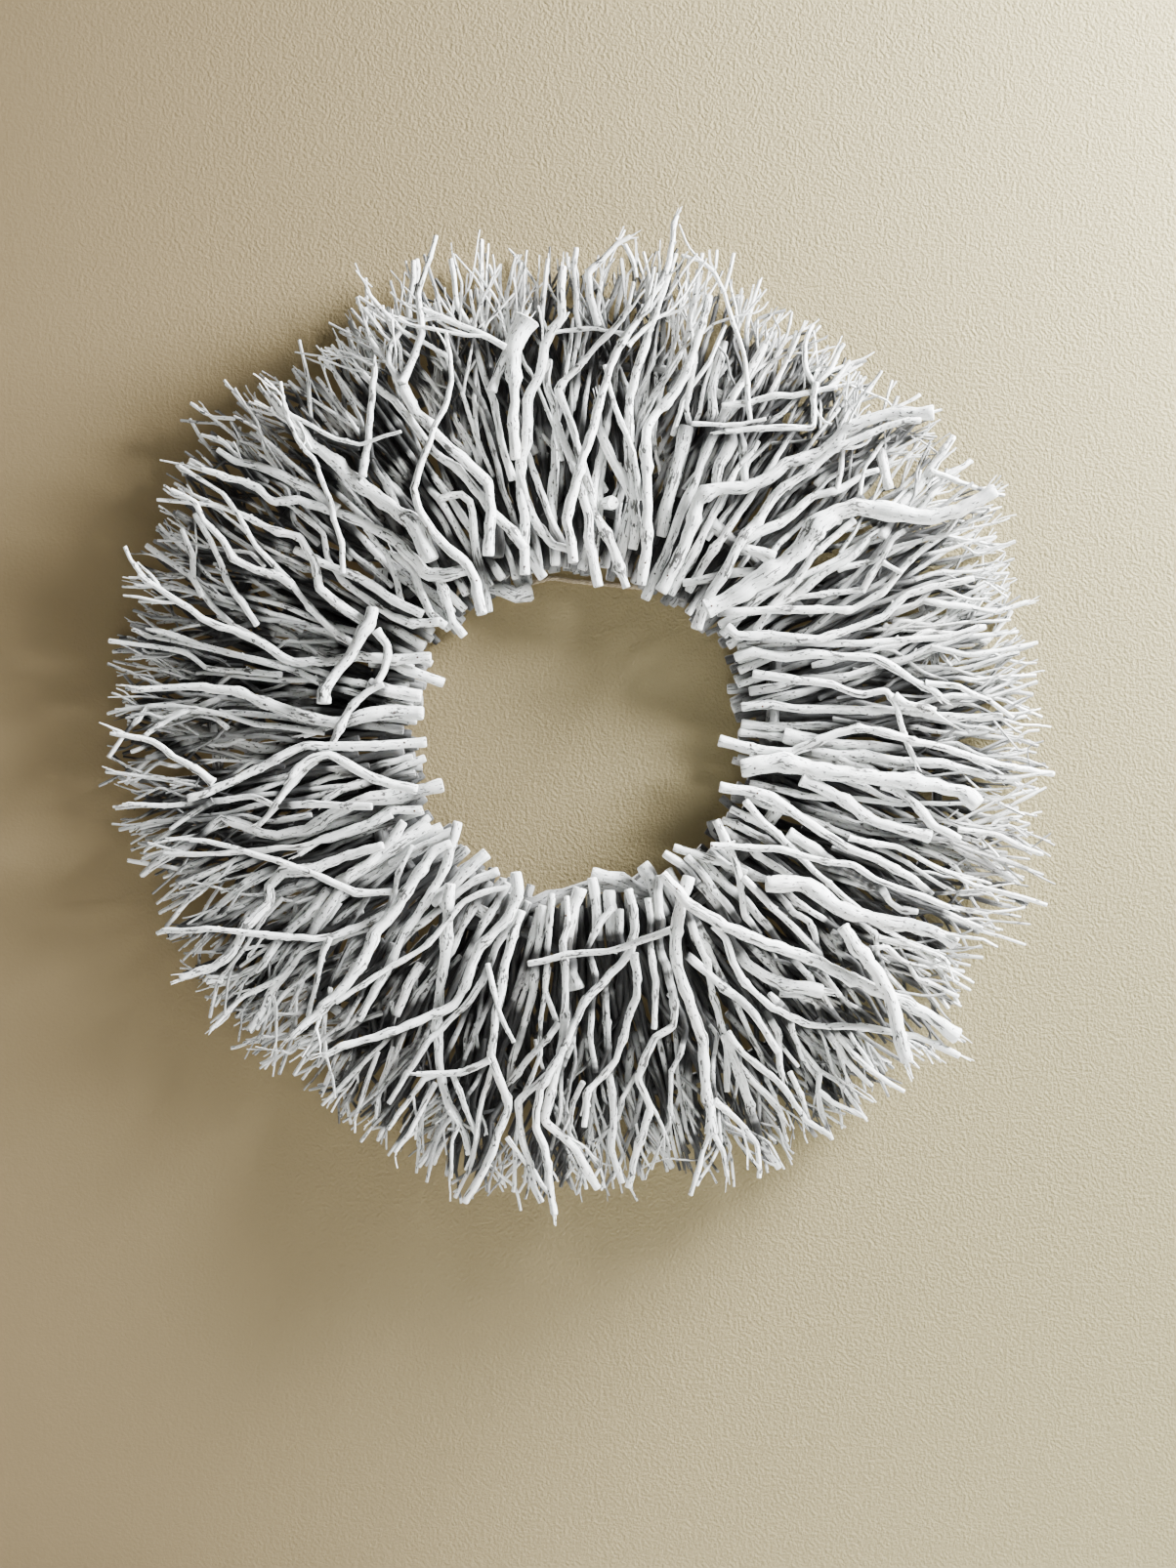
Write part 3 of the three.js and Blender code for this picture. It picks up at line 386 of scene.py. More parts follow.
# The branches. Each row: a name for a branch that is a piece of its own, its rank from 1, the
# deepest, to 5, the front, its diameters from root to tip, and its points on the chart.
# A row that starts with > is an arm of the branch above it, and an indented line goes on with
# the row before it.
BRANCHES = """
4 12,12,9 537,588 537,530 531,498 531,468 540,430 546,395 555,350 562,336 575,322 576,270
> 5,4 562,338 578,336 607,333 640,338 652,334
4 11,8 537,562 494,507 444,462 425,435 405,410 385,395 372,385
4 12,11 500,570 503,520 500,495 470,466 425,425 413,398
> 8,6 413,398 400,375 401,358 412,343
> 9,5 413,396 424,372 434,345 430,305 443,268 448,247
3 8,7 577,556 565,530 552,490 543,465 533,440
4 10,8 584,562 566,556 549,535 538,510 534,490
3 13,12 556,590 545,572 538,560
branch_top_left 5 12,9,6 587,576 582,532 598,468 608,440 616,404 624,375 656,325 680,280 688,250
  692,226
> 5,4 643,355 668,330 680,300 692,262
4 12,8 613,599 607,560 600,520 590,480 568,425 562,395 562,365
4 11,9,6 642,600 630,562 618,538 606,508 588,440 577,410 573,397 590,377 612,350 626,336 645,312
3 13,10 634,572 637,535 646,506 640,488 624,462 612,435 611,405
branch_top 5 13,11,9 657,597 664,560 666,520 663,432 673,413 692,394 704,378 712,350 727,298
4 12,9 648,560 654,510 646,455 641,405 650,383 660,355 672,312
4 7,5 656,510 652,480 642,448 632,418 619,372
branch_top_right_slim 4 11,9 661,611 672,583 692,540 706,500 722,466 740,432 754,400 768,378 785,348
branch_top_club 5 11,12,24 528,470 526,430 526,395 524,362 528,345 540,325
> 11,10 522,358 512,375 503,400
4 9,6 525,490 503,410 494,385 484,352 475,330 466,305 461,262
5 8,6 518,358 500,347 480,338 455,329 434,321
5 4,4 500,348 475,347 445,343 420,338 395,325
3 9,7 430,345 422,300 423,255
3 8,7 416,330 418,290 420,257
3 6,5 500,370 495,345 491,320 493,290 491,236
3 6,5 562,338 553,318 555,300 560,256
3 7,6 590,350 592,335 588,305 588,280 590,245
4 9,6 612,330 606,300 604,275 618,262 632,246 646,238
> 5,4 640,246 648,265 652,280
branch_top_forked 4 15,14,12 677,604 692,570 704,540 714,512 735,502 765,500 788,489 806,470
  842,457 870,436 905,426 955,424
3 9,7 688,607 712,556 738,508 752,480 778,448
2 14,14 678,545 687,500 697,460 705,430
2 13,13 735,500 743,465 752,435
2 9,9 765,495 762,470 757,430
2 13,9 718,480 726,430 737,370 745,340
3 6,4 690,440 700,405 716,380 732,355 745,325
3 7,4 765,380 768,345 770,320 782,275
5 6,4 769,430 763,370 757,345 742,296 748,272 752,256
> 5,4 742,296 733,275 720,263 698,258
5 5,4 708,434 740,437 784,430
4 8,6 740,413 770,409 805,402 836,398 858,395
4 7,7 836,390 835,415 832,434 800,437 742,442
branch_upper_right 5 13,10,7 713,644 728,604 748,570 770,536 792,511 818,490 846,467 878,450
  905,440 940,434
branch_right_thick 5 22,22,20,12 722,625 750,612 775,594 800,578 818,560 832,540 850,526 872,518
  900,523 947,535 975,528 1012,507
4 10,6 735,626 790,623 835,626 875,620 905,604 925,583 950,560 988,522
3 10,10 700,595 722,591 750,584 785,582 800,576
3 14,14 758,560 775,562 795,570
3 12,7 755,556 785,538 812,524 838,505 862,497 885,484 902,479
3 9,8 775,645 795,617 818,596 835,570 855,550 878,530
3 10,6 812,612 840,592 866,574 885,556 905,540
> 7,6 860,580 900,572 930,555
3 6,6 790,622 822,610 852,605 885,603
branch_right_slim 5 11,9,7 745,640 755,650 800,650 842,650 872,640 905,628 930,607 958,598 1000,591
4 9,7 757,660 800,659 850,655 905,653 975,648 1015,640
5 11,8 754,672 772,662 805,670 850,672 900,675 922,688 945,700 958,705 967,714
> 7,5 950,699 985,702 1010,714 1040,735
branch_right_crooked 5 11,8,6 773,688 805,692 845,700 880,709 910,706 921,722 926,742 932,762
  939,779
> 9,9 918,712 930,722 960,728
4 10,8 762,723 800,722 900,725 935,728 985,734 1030,733
branch_right_long 5 13,9,6 738,758 775,763 815,771 842,757 878,748 912,751 945,762 1000,776
  1045,786 1085,793
branch_right_lower 5 22,18,14 760,787 800,787 840,793 880,797 920,803 960,807 990,815 1003,825
> 14,11 822,797 850,812 880,828 905,842 930,852 955,857
> 11,9 905,803 925,815 945,830 960,843 985,860
4 14,8 835,769 868,774 905,775 945,780 1020,794 1050,797
> 12,10 862,776 885,785 905,797
branch_lower_right_long 4 12,8 737,806 790,815 812,830 845,852 905,885 935,900 955,917
> 7,4 870,858 895,862 920,868 945,882 970,893 1000,908 1030,915 1075,928
5 9,6 763,820 785,843 808,868 832,893 856,913 880,932
5 8,6 727,866 765,865 800,868 830,877 870,887 900,900 968,928
4 10,7 733,840 745,862 757,885 757,912 762,940 778,957
2 18,12,8 806,752 850,758 900,761 930,766
3 14,12 808,853 835,870 855,885
3 6,4 940,697 985,693 1030,692 1072,689
4 8,6 884,605 897,580 915,552 932,540
> 5,5 905,575 925,586
3 12,8 905,548 922,520 940,495 955,474 980,443
3 9,6 940,525 960,497 978,479 1000,465
4 6,6 858,500 862,480 864,455
2 11,11 915,497 909,475 905,455
3 8,5 833,435 837,410 837,388 829,370 828,345 836,325
> 6,5 838,388 855,372 863,352 868,345
3 5,4 882,505 888,475 905,450 925,438
3 8,7 900,903 912,925 925,935 942,935
3 7,5 960,660 1000,668 1035,662 1072,655
3 8,5 985,850 1020,856 1052,870 1073,876
3 7,4 955,480 985,492 1032,505
3 8,5 950,610 990,618 1030,622 1063,612
branch_left_forked 5 14,11,7 480,582 438,583 420,566 400,548 375,536 340,523 305,511 280,516
  262,500 250,494 207,481
> 11,12,6 345,522 318,498 290,484 262,474 240,471 222,460
branch_left_thick 5 20,16,10 442,575 427,535 400,515 380,498 360,485 345,472 325,458 310,440 278,407
> 8,7 372,490 378,460 383,400 386,380
5 5,4 300,428 320,438 345,452 370,458 395,450 413,446
branch_upper_left_long 5 13,8,4 494,630 490,598 478,578 458,560 430,522 424,503 447,444 458,414
  464,396 462,368 458,345
3 12,8 499,625 495,600 485,530 482,512 470,503 448,508
2 16,15 503,520 507,568
4 11,10 474,650 462,636 455,612 440,562
4 10,8 455,640 440,625 420,582 402,566
4 8,5 410,618 404,592 394,565 378,546 372,540
4 10,6 448,636 420,638 400,630 350,594 337,572 330,545 300,520
4 11,9 432,629 402,613 372,597 345,585 300,562
5 7,4 352,588 351,560 343,525 332,498 323,472 308,452 295,425 290,395
4 5,4 320,450 317,425 309,372 303,343
4 12,8,4 374,638 345,617 326,603 318,575 306,552 278,540 250,528 222,519 162,513
4 9,6,4 365,662 335,638 305,608 262,558 245,530 228,505 205,490 185,478
3 7,5 262,500 235,490 212,476 187,465
4 10,5 300,600 285,590 262,583 240,572 226,552 208,534 200,516 177,503
4 8,6 262,640 247,615 232,595 222,572 204,538 198,525
5 8,6 205,610 195,590 194,568 184,540
3 9,7 235,620 208,600 185,582 143,555
branch_left_level 5 12,10,6 440,672 400,674 360,673 330,677 300,677 270,660 240,645 205,633
  175,613 142,588
> 6,4 150,596 134,574 128,560
4 8,6 292,678 262,656 236,640 214,620 190,585
4 7,5 285,690 240,686 205,682 185,668 150,660 107,655
branch_left_crossing 5 14,13,12 382,622 381,642 364,662 348,684 338,704 332,721
> 9,8 385,645 394,662 392,685 386,700
5 8,9 393,701 376,711 360,726 349,744 337,768 318,786 300,804 286,822
4 12,11 452,698 428,692 402,682 375,676
3 15,14 430,712 400,706 375,700
branch_left_knotted 4 17,13,6 432,730 400,730 372,732 345,738 300,727 262,716 235,707 205,699
  165,703 132,706
3 8,7 360,738 335,742 307,753
4 7,5 330,750 295,744 262,740 200,727 145,722 125,750 107,775
branch_left_bent 5 11,9 437,760 385,762 340,762 310,768 275,782 240,797 196,818
> 9,5 222,802 200,788 180,776 160,762 125,752
branch_left_low 4 17,12,8 452,804 410,811 370,822 335,834 308,851 278,855 250,843 222,834 205,848
  188,863 140,898
5 11,9 428,809 400,800 368,787 338,773 320,778 300,796
4 9,8 433,776 400,788 372,800 345,812 328,820
4 10,8 430,830 396,834 365,845 332,860 303,875
4 9,5 380,826 340,824 276,824 255,817 225,821 185,823 122,825
> 8,7 280,825 270,838 262,845
> 7,5 215,820 192,836 170,850
4 15,13 438,845 412,862 385,880 343,906
4 12,9 412,842 395,865 378,885 352,902
5 9,5 400,914 362,914 343,906 310,892 250,872 235,867 215,862 195,860
4 8,5 400,835 365,850 325,862 300,870 230,873 165,875
branch_lower_left_club 4 10,13,8 392,866 350,876 315,888 290,896 272,907 268,925 256,945 238,977
  218,992 183,1003
3 9,6 290,888 265,893 245,905 228,920 203,945
3 8,5 262,880 235,890 212,900 197,912 185,925 162,952
4 9,6 402,912 395,932 370,945 340,957 318,962 275,960 210,950 158,957
4 8,5 383,952 355,957 330,967 305,978 285,1000 245,1025 212,1057
3 12,9 345,912 330,935 318,955 290,995 275,1015 250,1060
3 11,8 332,912 315,930 298,948 282,965 257,998
4 8,5 337,960 330,975 325,1000 314,1042
4 4,4 235,423 212,420 189,407
3 6,4 270,490 245,470 222,448 200,440
3 6,4 230,690 190,715 150,720 102,730
3 6,4 240,800 200,802 150,798 98,790
5 10,9 534,932 527,955 520,985 516,1010 508,1035 503,1080 508,1095 520,1130 518,1145 505,1180
  477,1227
> 8,6 503,1082 490,1090 475,1097 428,1097
5 6,5 500,985 505,1010 515,1040 527,1065
4 13,11,8 461,905 458,940 455,970 450,1030 453,1110 460,1130 477,1160 481,1180
branch_bottom_left_long 5 13,10,8 528,893 531,912 522,938 505,955 490,970 475,1010 463,1028
  445,1035 400,1052 335,1078
4 9,6 533,938 512,962 488,1012 474,1035 455,1052 440,1065 428,1085 415,1105 398,1130
5 7,6 520,908 497,913 475,922 463,935 440,968 425,977 400,990 345,1025
4 11,9 468,842 463,862 456,888 436,922 420,950 405,975 383,1010 366,1045
4 11,14,9 462,864 445,872 434,894 405,935 383,955 375,975 352,1010 300,1060
4 7,6 420,866 414,880 406,896 402,916
3 11,10 430,988 421,1005 413,1025 404,1042
2 14,12 498,874 480,888 466,900 440,925
2 10,9 510,893 490,900 475,910 450,930
2 7,7 455,855 435,862 420,870 395,885
4 10,8 556,928 551,955 549,985 546,1015 538,1045 522,1108
4 8,6 565,920 562,940 560,990 558,1015 570,1047
5 8,7 572,1047 553,1068 537,1085 522,1108
5 7,10,9 580,918 579,950 579,985 577,1060 566,1120 560,1145 572,1160 588,1175 612,1216
3 15,13 594,910 586,940 583,970 590,1015
2 12,11 606,900 610,920 612,965
2 15,14 624,913 628,965
3 8,7 628,930 615,945 600,975
3 9,8 635,932 637,950 639,990
branch_bottom_bent 5 10,9,8 643,910 651,955 646,975 624,997 602,1022 587,1047 576,1070 571,1082
  553,1110 549,1150 558,1170 568,1235
> 9,7 648,975 650,1020 645,1035 640,1060 630,1085 600,1115 598,1150
5 7,8 541,986 580,977 622,973 652,962 692,948
4 9,7 664,920 666,940 665,955 668,985 672,1005 670,1055
4 10,8 675,897 675,925 679,975 690,1040 690,1052 672,1065 662,1085 656,1105 664,1135 650,1175
  643,1218
> 7,5 686,1018 700,1040 704,1055 697,1080 688,1100 688,1145
branch_bottom_tall 5 14,12,11 704,896 697,918 692,950 692,975 698,1000 706,1030 713,1060 722,1110
  727,1128 726,1155
> 7,5 729,1122 745,1135 762,1150 772,1165 774,1200
> 6,5 726,1152 720,1170 705,1217
> 6,5 726,1152 738,1172 742,1198
4 7,9,7 620,1000 621,1040 621,1070 628,1125 625,1180 637,1213
4 8,6 604,980 608,1000 606,1020 605,1060 610,1100
branch_lower_right_broken 5 12,13,14 676,893 704,921 735,943 780,961 830,978 872,998 912,1021
  972,1056
3 9,8 703,877 722,898 742,923 758,945
2 9,9 680,874 700,888 715,905
2 9,9 690,868 720,876 740,882 765,895
2 17,16 658,886 667,900 680,940
4 9,7 702,925 712,955 722,985 736,1030 742,1060 745,1120
4 10,8 703,978 728,1000 757,1025 770,1040 797,1078
5 8,7 727,945 740,958 748,982 756,1002 785,1030 805,1038 825,1045 880,1048 930,1055 973,1075
4 12,14 742,945 752,965 768,985 785,997 805,1005 843,1016
4 8,7 760,898 785,922 812,950 840,983
3 8,7 795,912 815,935 830,945 843,985
branch_lower_right_thick 5 20,17,12 783,905 810,908 835,915 875,930 900,938 930,945 955,955 975,965
branch_lower_right_cut 5 16,14 856,945 880,970 890,990 897,1010 905,1040 920,1080
3 7,5 865,938 885,948 897,960 899,978 908,998 945,1035
> 6,5 902,962 940,972 960,978 975,990
> 6,5 905,970 935,990 942,1005 960,1012 985,1023
3 7,6 815,978 845,1000 862,1022
4 7,6 800,1020 820,1022 838,1030 842,1045
4 12,10,8 742,1060 755,1095 763,1118 770,1140 778,1160 799,1199
3 9,7 755,1090 772,1108 787,1126 803,1148
4 8,6 745,1057 755,1070 775,1090 800,1115 825,1148 850,1163
3 7,5 805,1045 818,1070 835,1090 842,1100 838,1125 855,1172
3 9,7 785,1035 797,1060 800,1085 803,1105
3 6,5 810,1100 820,1125 830,1150
4 8,6 838,1045 852,1065 865,1085 895,1115
4 7,5 855,1055 875,1080 893,1097 928,1120
5 5,4 842,1100 860,1112 875,1128 890,1150
5 6,5 840,1120 855,1133 875,1143 887,1147
4 7,5 450,1098 435,1105 425,1120 398,1155
4 7,5 447,1108 435,1125 420,1155 405,1178
5 5,4 460,1135 470,1150 465,1165 463,1203
4 7,5 465,1100 483,1145 490,1160 485,1180 467,1223
4 6,5 505,1090 495,1115 488,1165
4 6,5 520,1160 535,1180 548,1195 567,1222
4 9,8,7 565,1095 545,1112 533,1125 537,1165 547,1210 555,1225
4 5,4 600,1185 590,1195 575,1215
3 6,4 385,1080 372,1110 360,1152
3 6,4 400,1075 388,1110 383,1150
3 6,4 905,1050 935,1065 965,1088
"""


def seeded_draw(seed):
    """The draw that placed the CAD model's plain branches: whole-number mixing in 32 bits."""
    state = seed

    def draw(low, high):
        nonlocal state
        state = (state + 0x6D2B79F5) & 0xFFFFFFFF
        mixed = ((state ^ (state >> 15)) * (1 | state)) & 0xFFFFFFFF
        turned = ((mixed ^ (mixed >> 7)) * (61 | mixed)) & 0xFFFFFFFF
        mixed = ((mixed + turned) & 0xFFFFFFFF) ^ mixed
        return low + (high - low) * ((mixed ^ (mixed >> 14)) & 0xFFFFFFFF) / 4294967296

    return draw


def read_row(line):
    words = line.split()
    arm = words[0] == ">"
    named = words[0][0].isalpha()
    if arm or named:
        words.pop(0)
    if "," not in words[0]:
        words.pop(0)
    diameters = [float(word) for word in words.pop(0).split(",")]
    points = [[float(number) for number in word.split(",")] for word in words]
    return arm, diameters, points


def path_lengths(points):
    return np.concatenate([[0], np.cumsum(np.linalg.norm(np.diff(points, axis=0), axis=1))])


def stations(points):
    """Which points the CAD stick keeps: it leaves out those close to the line between others."""
    if len(points) < 3:
        return [0, len(points) - 1]
    first = points[0]
    along = points[-1] - first
    length = np.hypot(*along) or 1
    offsets = np.abs(np.cross(points - first, along)) / length
    far = int(np.argmax(offsets))
    if offsets[far] < STRAIGHTNESS:
        return [0, len(points) - 1]
    before = stations(points[: far + 1])
    after = [far + k for k in stations(points[far:])]
    return before[:-1] + after


class Corners:
    """The corners of all the CAD sticks, looked up by their place on the chart."""

    def __init__(self):
        self.heights = []
        self.nodes = []
        places = []
        for name, node in frame["nodes"].items():
            flat = np.empty(3 * len(node.data.vertices), np.float32)
            node.data.vertices.foreach_get("co", flat)
            for x, y, z in np.unique(np.round(flat.reshape(-1, 3) / MM, 3), axis=0):
                places.append((x + HOOK[0], HOOK[1] - z, 0))
                self.heights.append(-y)
                self.nodes.append(name)
        self.tree = KDTree(len(places))
        for k, place in enumerate(places):
            self.tree.insert(place, k)
        self.tree.balance()

    def near(self, place):
        found = self.tree.find_range((place[0], place[1], 0), CORNER_REACH)
        return [(self.heights[k], self.nodes[k]) for _, k, _ in found]

    def station(self, centre, across):
        """The height and node of the stick whose left and right corners lie here, or None."""
        left = self.near(centre + across)
        right = self.near(centre - across)
        for height, node in left:
            for other, other_node in right:
                if node == other_node and abs(height - other) < EVEN_CORNERS:
                    return (height + other) / 2, node, 2
        for height, node in left + right:
            return height, node, 1
        return None


class Branch:
    """A stick: its line on the chart, its radii there and how far it stands off the wall."""

    def __init__(self, diameters, points, parent=None):
        self.points = np.array(points, float)
        self.parent = parent
        self.lengths = path_lengths(self.points)
        self.length = self.lengths[-1]
        stops = np.linspace(0, 1, len(diameters))
        self.radii = np.interp(self.lengths / self.length, stops, diameters) / 2
        self.kept = stations(self.points)
        self.node = None
        self.heights = None
        self.matched = 0
        self.plain = False
        self.hidden = False

    def find(self, corners):
        kept = self.points[self.kept]
        units = np.diff(kept, axis=0)
        units /= np.linalg.norm(units, axis=1)[:, None]
        votes = {}
        known = []
        for k, place in enumerate(kept):
            tangent = units[max(0, k - 1)] + units[min(len(units) - 1, k)]
            tangent /= np.hypot(*tangent)
            across = np.array([-tangent[1], tangent[0]]) * self.radii[self.kept[k]]
            found = corners.station(place, across)
            if found:
                height, node, weight = found
                votes[node] = votes.get(node, 0) + weight
                known.append((self.lengths[self.kept[k]], height, node))
        if not votes:
            return 0
        self.node = max(votes, key=votes.get)
        known = [(along, height) for along, height, node in known if node == self.node]
        self.matched = votes[self.node]
        if self.parent is not None and known[0][0] > 0:
            known.insert(0, (0, self.parent.height_near(self.points[0])))
        self.heights = np.interp(self.lengths, *zip(*known))
        return self.matched

    def follow(self, parent):
        """Takes the height and node of the branch that it grows from."""
        self.node = parent.node
        self.heights = np.full(len(self.points), parent.height_near(self.points[0]))

    def height_near(self, place):
        _, share, k = self.closest(place)
        return self.heights[k] + (self.heights[k + 1] - self.heights[k]) * share

    def distance_to(self, place, k):
        stride = self.points[k + 1] - self.points[k]
        share = np.clip(np.dot(place - self.points[k], stride) / np.dot(stride, stride), 0, 1)
        return np.hypot(*(place - self.points[k] - stride * share)), share

    def closest(self, place):
        """The distance from a place to the line, and where it is least: how far along which
        stretch."""
        found = [(*self.distance_to(place, k), k) for k in range(len(self.points) - 1)]
        return min(found, key=lambda item: item[0])

    def nearest(self, place):
        distance, share, k = self.closest(place)
        return distance, self.points[k] + (self.points[k + 1] - self.points[k]) * share


def chart_rows(text):
    rows = []
    for line in text.strip().replace("\n  ", " ").split("\n"):
        arm, diameters, points = read_row(line)
        if arm:
            rows[-1][2].append((diameters, points))
        else:
            rows.append((diameters, points, []))
    return rows


def fill_rows():
    """The plain branches behind the drawn ones, placed by the CAD model's own draw. The draw for
    their lift is made too, because the next ones follow on from it."""
    draw = seeded_draw(FILL_SEED)
    for k in range(FILL_BRANCHES):
        angle = 2 * math.pi * (k + draw(*FILL_SPREAD)) / FILL_BRANCHES
        skew = draw(*FILL_SKEW)
        bow = draw(*FILL_BOW)
        root = draw(*FILL_ROOT)
        tip = draw(*FILL_TIP)
        diameter = draw(*FILL_DIAMETER)
        draw(*FILL_LIFT)
        points = []
        for share in FILL_BENDS:
            radius = root + (tip - root) * share
            turn = angle + skew * share + bow * math.sin(math.pi * share)
            points.append(CENTRE + radius * np.array([math.cos(turn), -math.sin(turn)]))
        yield [diameter, FILL_TIP_DIAMETER], points


def outer_hoop_rows():
    half = math.pi / OUTER_HOOP_STICKS + OUTER_HOOP_OVERLAP
    for k in range(OUTER_HOOP_STICKS):
        middle = 2 * math.pi * (k + 0.5) / OUTER_HOOP_STICKS
        turns = [middle + half * step for step in OUTER_HOOP_BENDS]
        spots = [np.array([math.cos(turn), -math.sin(turn)]) for turn in turns]
        yield [OUTER_HOOP_DIAMETER], [CENTRE + OUTER_HOOP_RADIUS * spot for spot in spots]


def grafted(diameters, points, corners, laid):
    """A branch that grows from one near its root, as the CAD model lets it where it rests on
    nothing of its own."""
    best = None
    start = np.array(points[0], float)
    near = sorted(((*branch.nearest(start), branch) for branch in laid), key=lambda n: n[0])
    for distance, root, parent in near:
        if distance > GRAFT_REACH:
            break
        branch = Branch(diameters, [root, *points], parent)
        if branch.find(corners) and (best is None or branch.matched > best.matched):
            best = branch
    return best


@functools.cache
def branches():
    """Every branch of the wreath, with the CAD node that it belongs to."""
    corners = Corners()
    laid = []
    waiting = []

    def lay(diameters, points, parent=None):
        branch = Branch(diameters, points, parent)
        if branch.find(corners) >= min(LEAST_MATCHES, len(branch.kept)):
            laid.append(branch)
            return branch
        waiting.append((diameters, points, parent))
        return None

    for diameters, points in outer_hoop_rows():
        lay(diameters, points).plain = True
    for diameters, points, _ in chart_rows(INNER_HOOP):
        lay(diameters, points).plain = True
    for diameters, points in fill_rows():
        lay(diameters, points)
    for diameters, points, arms in chart_rows(BRANCHES):
        parent = lay(diameters, points)
        for arm_diameters, arm_points in arms:
            lay(arm_diameters, arm_points, parent)
    for diameters, points, parent in waiting:
        plain = Branch(diameters, points)
        plain.find(corners)
        choices = [plain, grafted(diameters, points, corners, laid)]
        best = max((branch for branch in choices if branch), key=lambda branch: branch.matched)
        if not best.matched:
            best.follow(parent)
        laid.append(best)
    return laid


def chart_to_metres(points):
    """Points of (across, down, off the wall) on the chart, as points of the model."""
    points = np.asarray(points, float)
    return np.column_stack([points[:, 0] - HOOK[0], -points[:, 2], HOOK[1] - points[:, 1]]) * MM


def smooth_line(points, spacing, crisp=0.0):
    """A smooth line through the points, and how far along it each of its points lies. A crisp
    share of 1 leaves its corners sharp."""
    points = np.asarray(points, float)
    strides = np.linalg.norm(np.diff(points, axis=0), axis=1)
    keep = np.concatenate([[True], strides > 1e-6])
    points = points[keep]
    strides = np.linalg.norm(np.diff(points, axis=0), axis=1)[:, None]
    stops = np.concatenate([[0], np.cumsum(strides)])
    slopes = np.diff(points, axis=0) / strides
    inner = (slopes[:-1] * strides[1:] + slopes[1:] * strides[:-1]) / (strides[:-1] + strides[1:])
    tangents = np.vstack([slopes[:1], inner, slopes[-1:]])
    along = np.linspace(0, stops[-1], max(3, int(stops[-1] / spacing) + 2))
    k = np.clip(np.searchsorted(stops, along, side="right") - 1, 0, len(strides) - 1)
    stride = strides[k]
    share = (along - stops[k])[:, None] / stride
    rest = 1 - share
    line = points[k] * rest**2 * (1 + 2 * share) + points[k + 1] * share**2 * (1 + 2 * rest)
    line += stride * share * rest * (tangents[k] * rest - tangents[k + 1] * share)
    straight = points[k] * rest + points[k + 1] * share
    return line * (1 - crisp) + straight * crisp, along


def sideways(line):
    """At each point of a line, the unit direction across it on the chart."""
    tangents = np.gradient(line, axis=0)
    across = np.column_stack([-tangents[:, 1], tangents[:, 0], np.zeros(len(line))])
    return across / np.maximum(np.linalg.norm(across, axis=1), 1e-9)[:, None]


class Bundle:
    """The sticks of one piece as open lines with a thickness, before they get their skin."""

    def __init__(self):
        self.parts = []

    def add(self, line, radii, tone, level, sawn=False, wear=0.0):
        """Level says how many faces go round the stick: TWIG, SLIM or THICK."""
        line = np.array(line, float)
        radii = np.array(radii, float)
        tone = np.broadcast_to(np.asarray(tone, float), len(line))
        wear = np.broadcast_to(np.asarray(wear, float), len(line))
        self.parts.append((line, radii, tone, level, sawn, wear))

    def values(self, rng):
        for line, radii, tone, level, sawn, wear in self.parts:
            along = path_lengths(line)
            ends = np.zeros(len(line))
            if sawn:
                ends[[0, -1]] = 1
            offset = rng.uniform(*GRAIN_START)
            yield along + offset, radii, tone, wear, np.full(len(line), level), ends

    def mesh(self, name, rng):
        points = chart_to_metres(np.concatenate([part[0] for part in self.parts]))
        mesh = bpy.data.meshes.new(name)
        mesh.vertices.add(len(points))
        mesh.vertices.foreach_set("co", points.ravel())
        firsts = np.arange(len(points) - 1)
        lengths = [len(part[0]) for part in self.parts]
        firsts = np.delete(firsts, np.cumsum(lengths)[:-1] - 1)
        mesh.edges.add(len(firsts))
        mesh.edges.foreach_set("vertices", np.column_stack([firsts, firsts + 1]).ravel())
        columns = [np.concatenate(column) for column in zip(*self.values(rng))]
        # The sticks' attributes, with the painted light that sets their painted shade.
        keys = ("along", "thickness", "tone", "wear", "level", "sawn")
        for key, column, scale in zip(keys, columns, (MM, MM, 1, 1, 1, 1)):
            layer = mesh.attributes.new(key, "FLOAT", "POINT")
            layer.data.foreach_set("value", (column * scale).astype(np.float32))
        mesh.update()
        return mesh


class Wire:
    """A node's output, with sums on it written as plain Python."""

    def __init__(self, tree, socket):
        self.tree = tree
        self.socket = socket

    def __add__(self, other):
        return self.tree.math("ADD", self, other)

    def __sub__(self, other):
        return self.tree.math("SUBTRACT", self, other)

    def __rsub__(self, other):
        return self.tree.math("SUBTRACT", other, self)

    def __mul__(self, other):
        return self.tree.math("MULTIPLY", self, other)

    __radd__ = __add__
    __rmul__ = __mul__


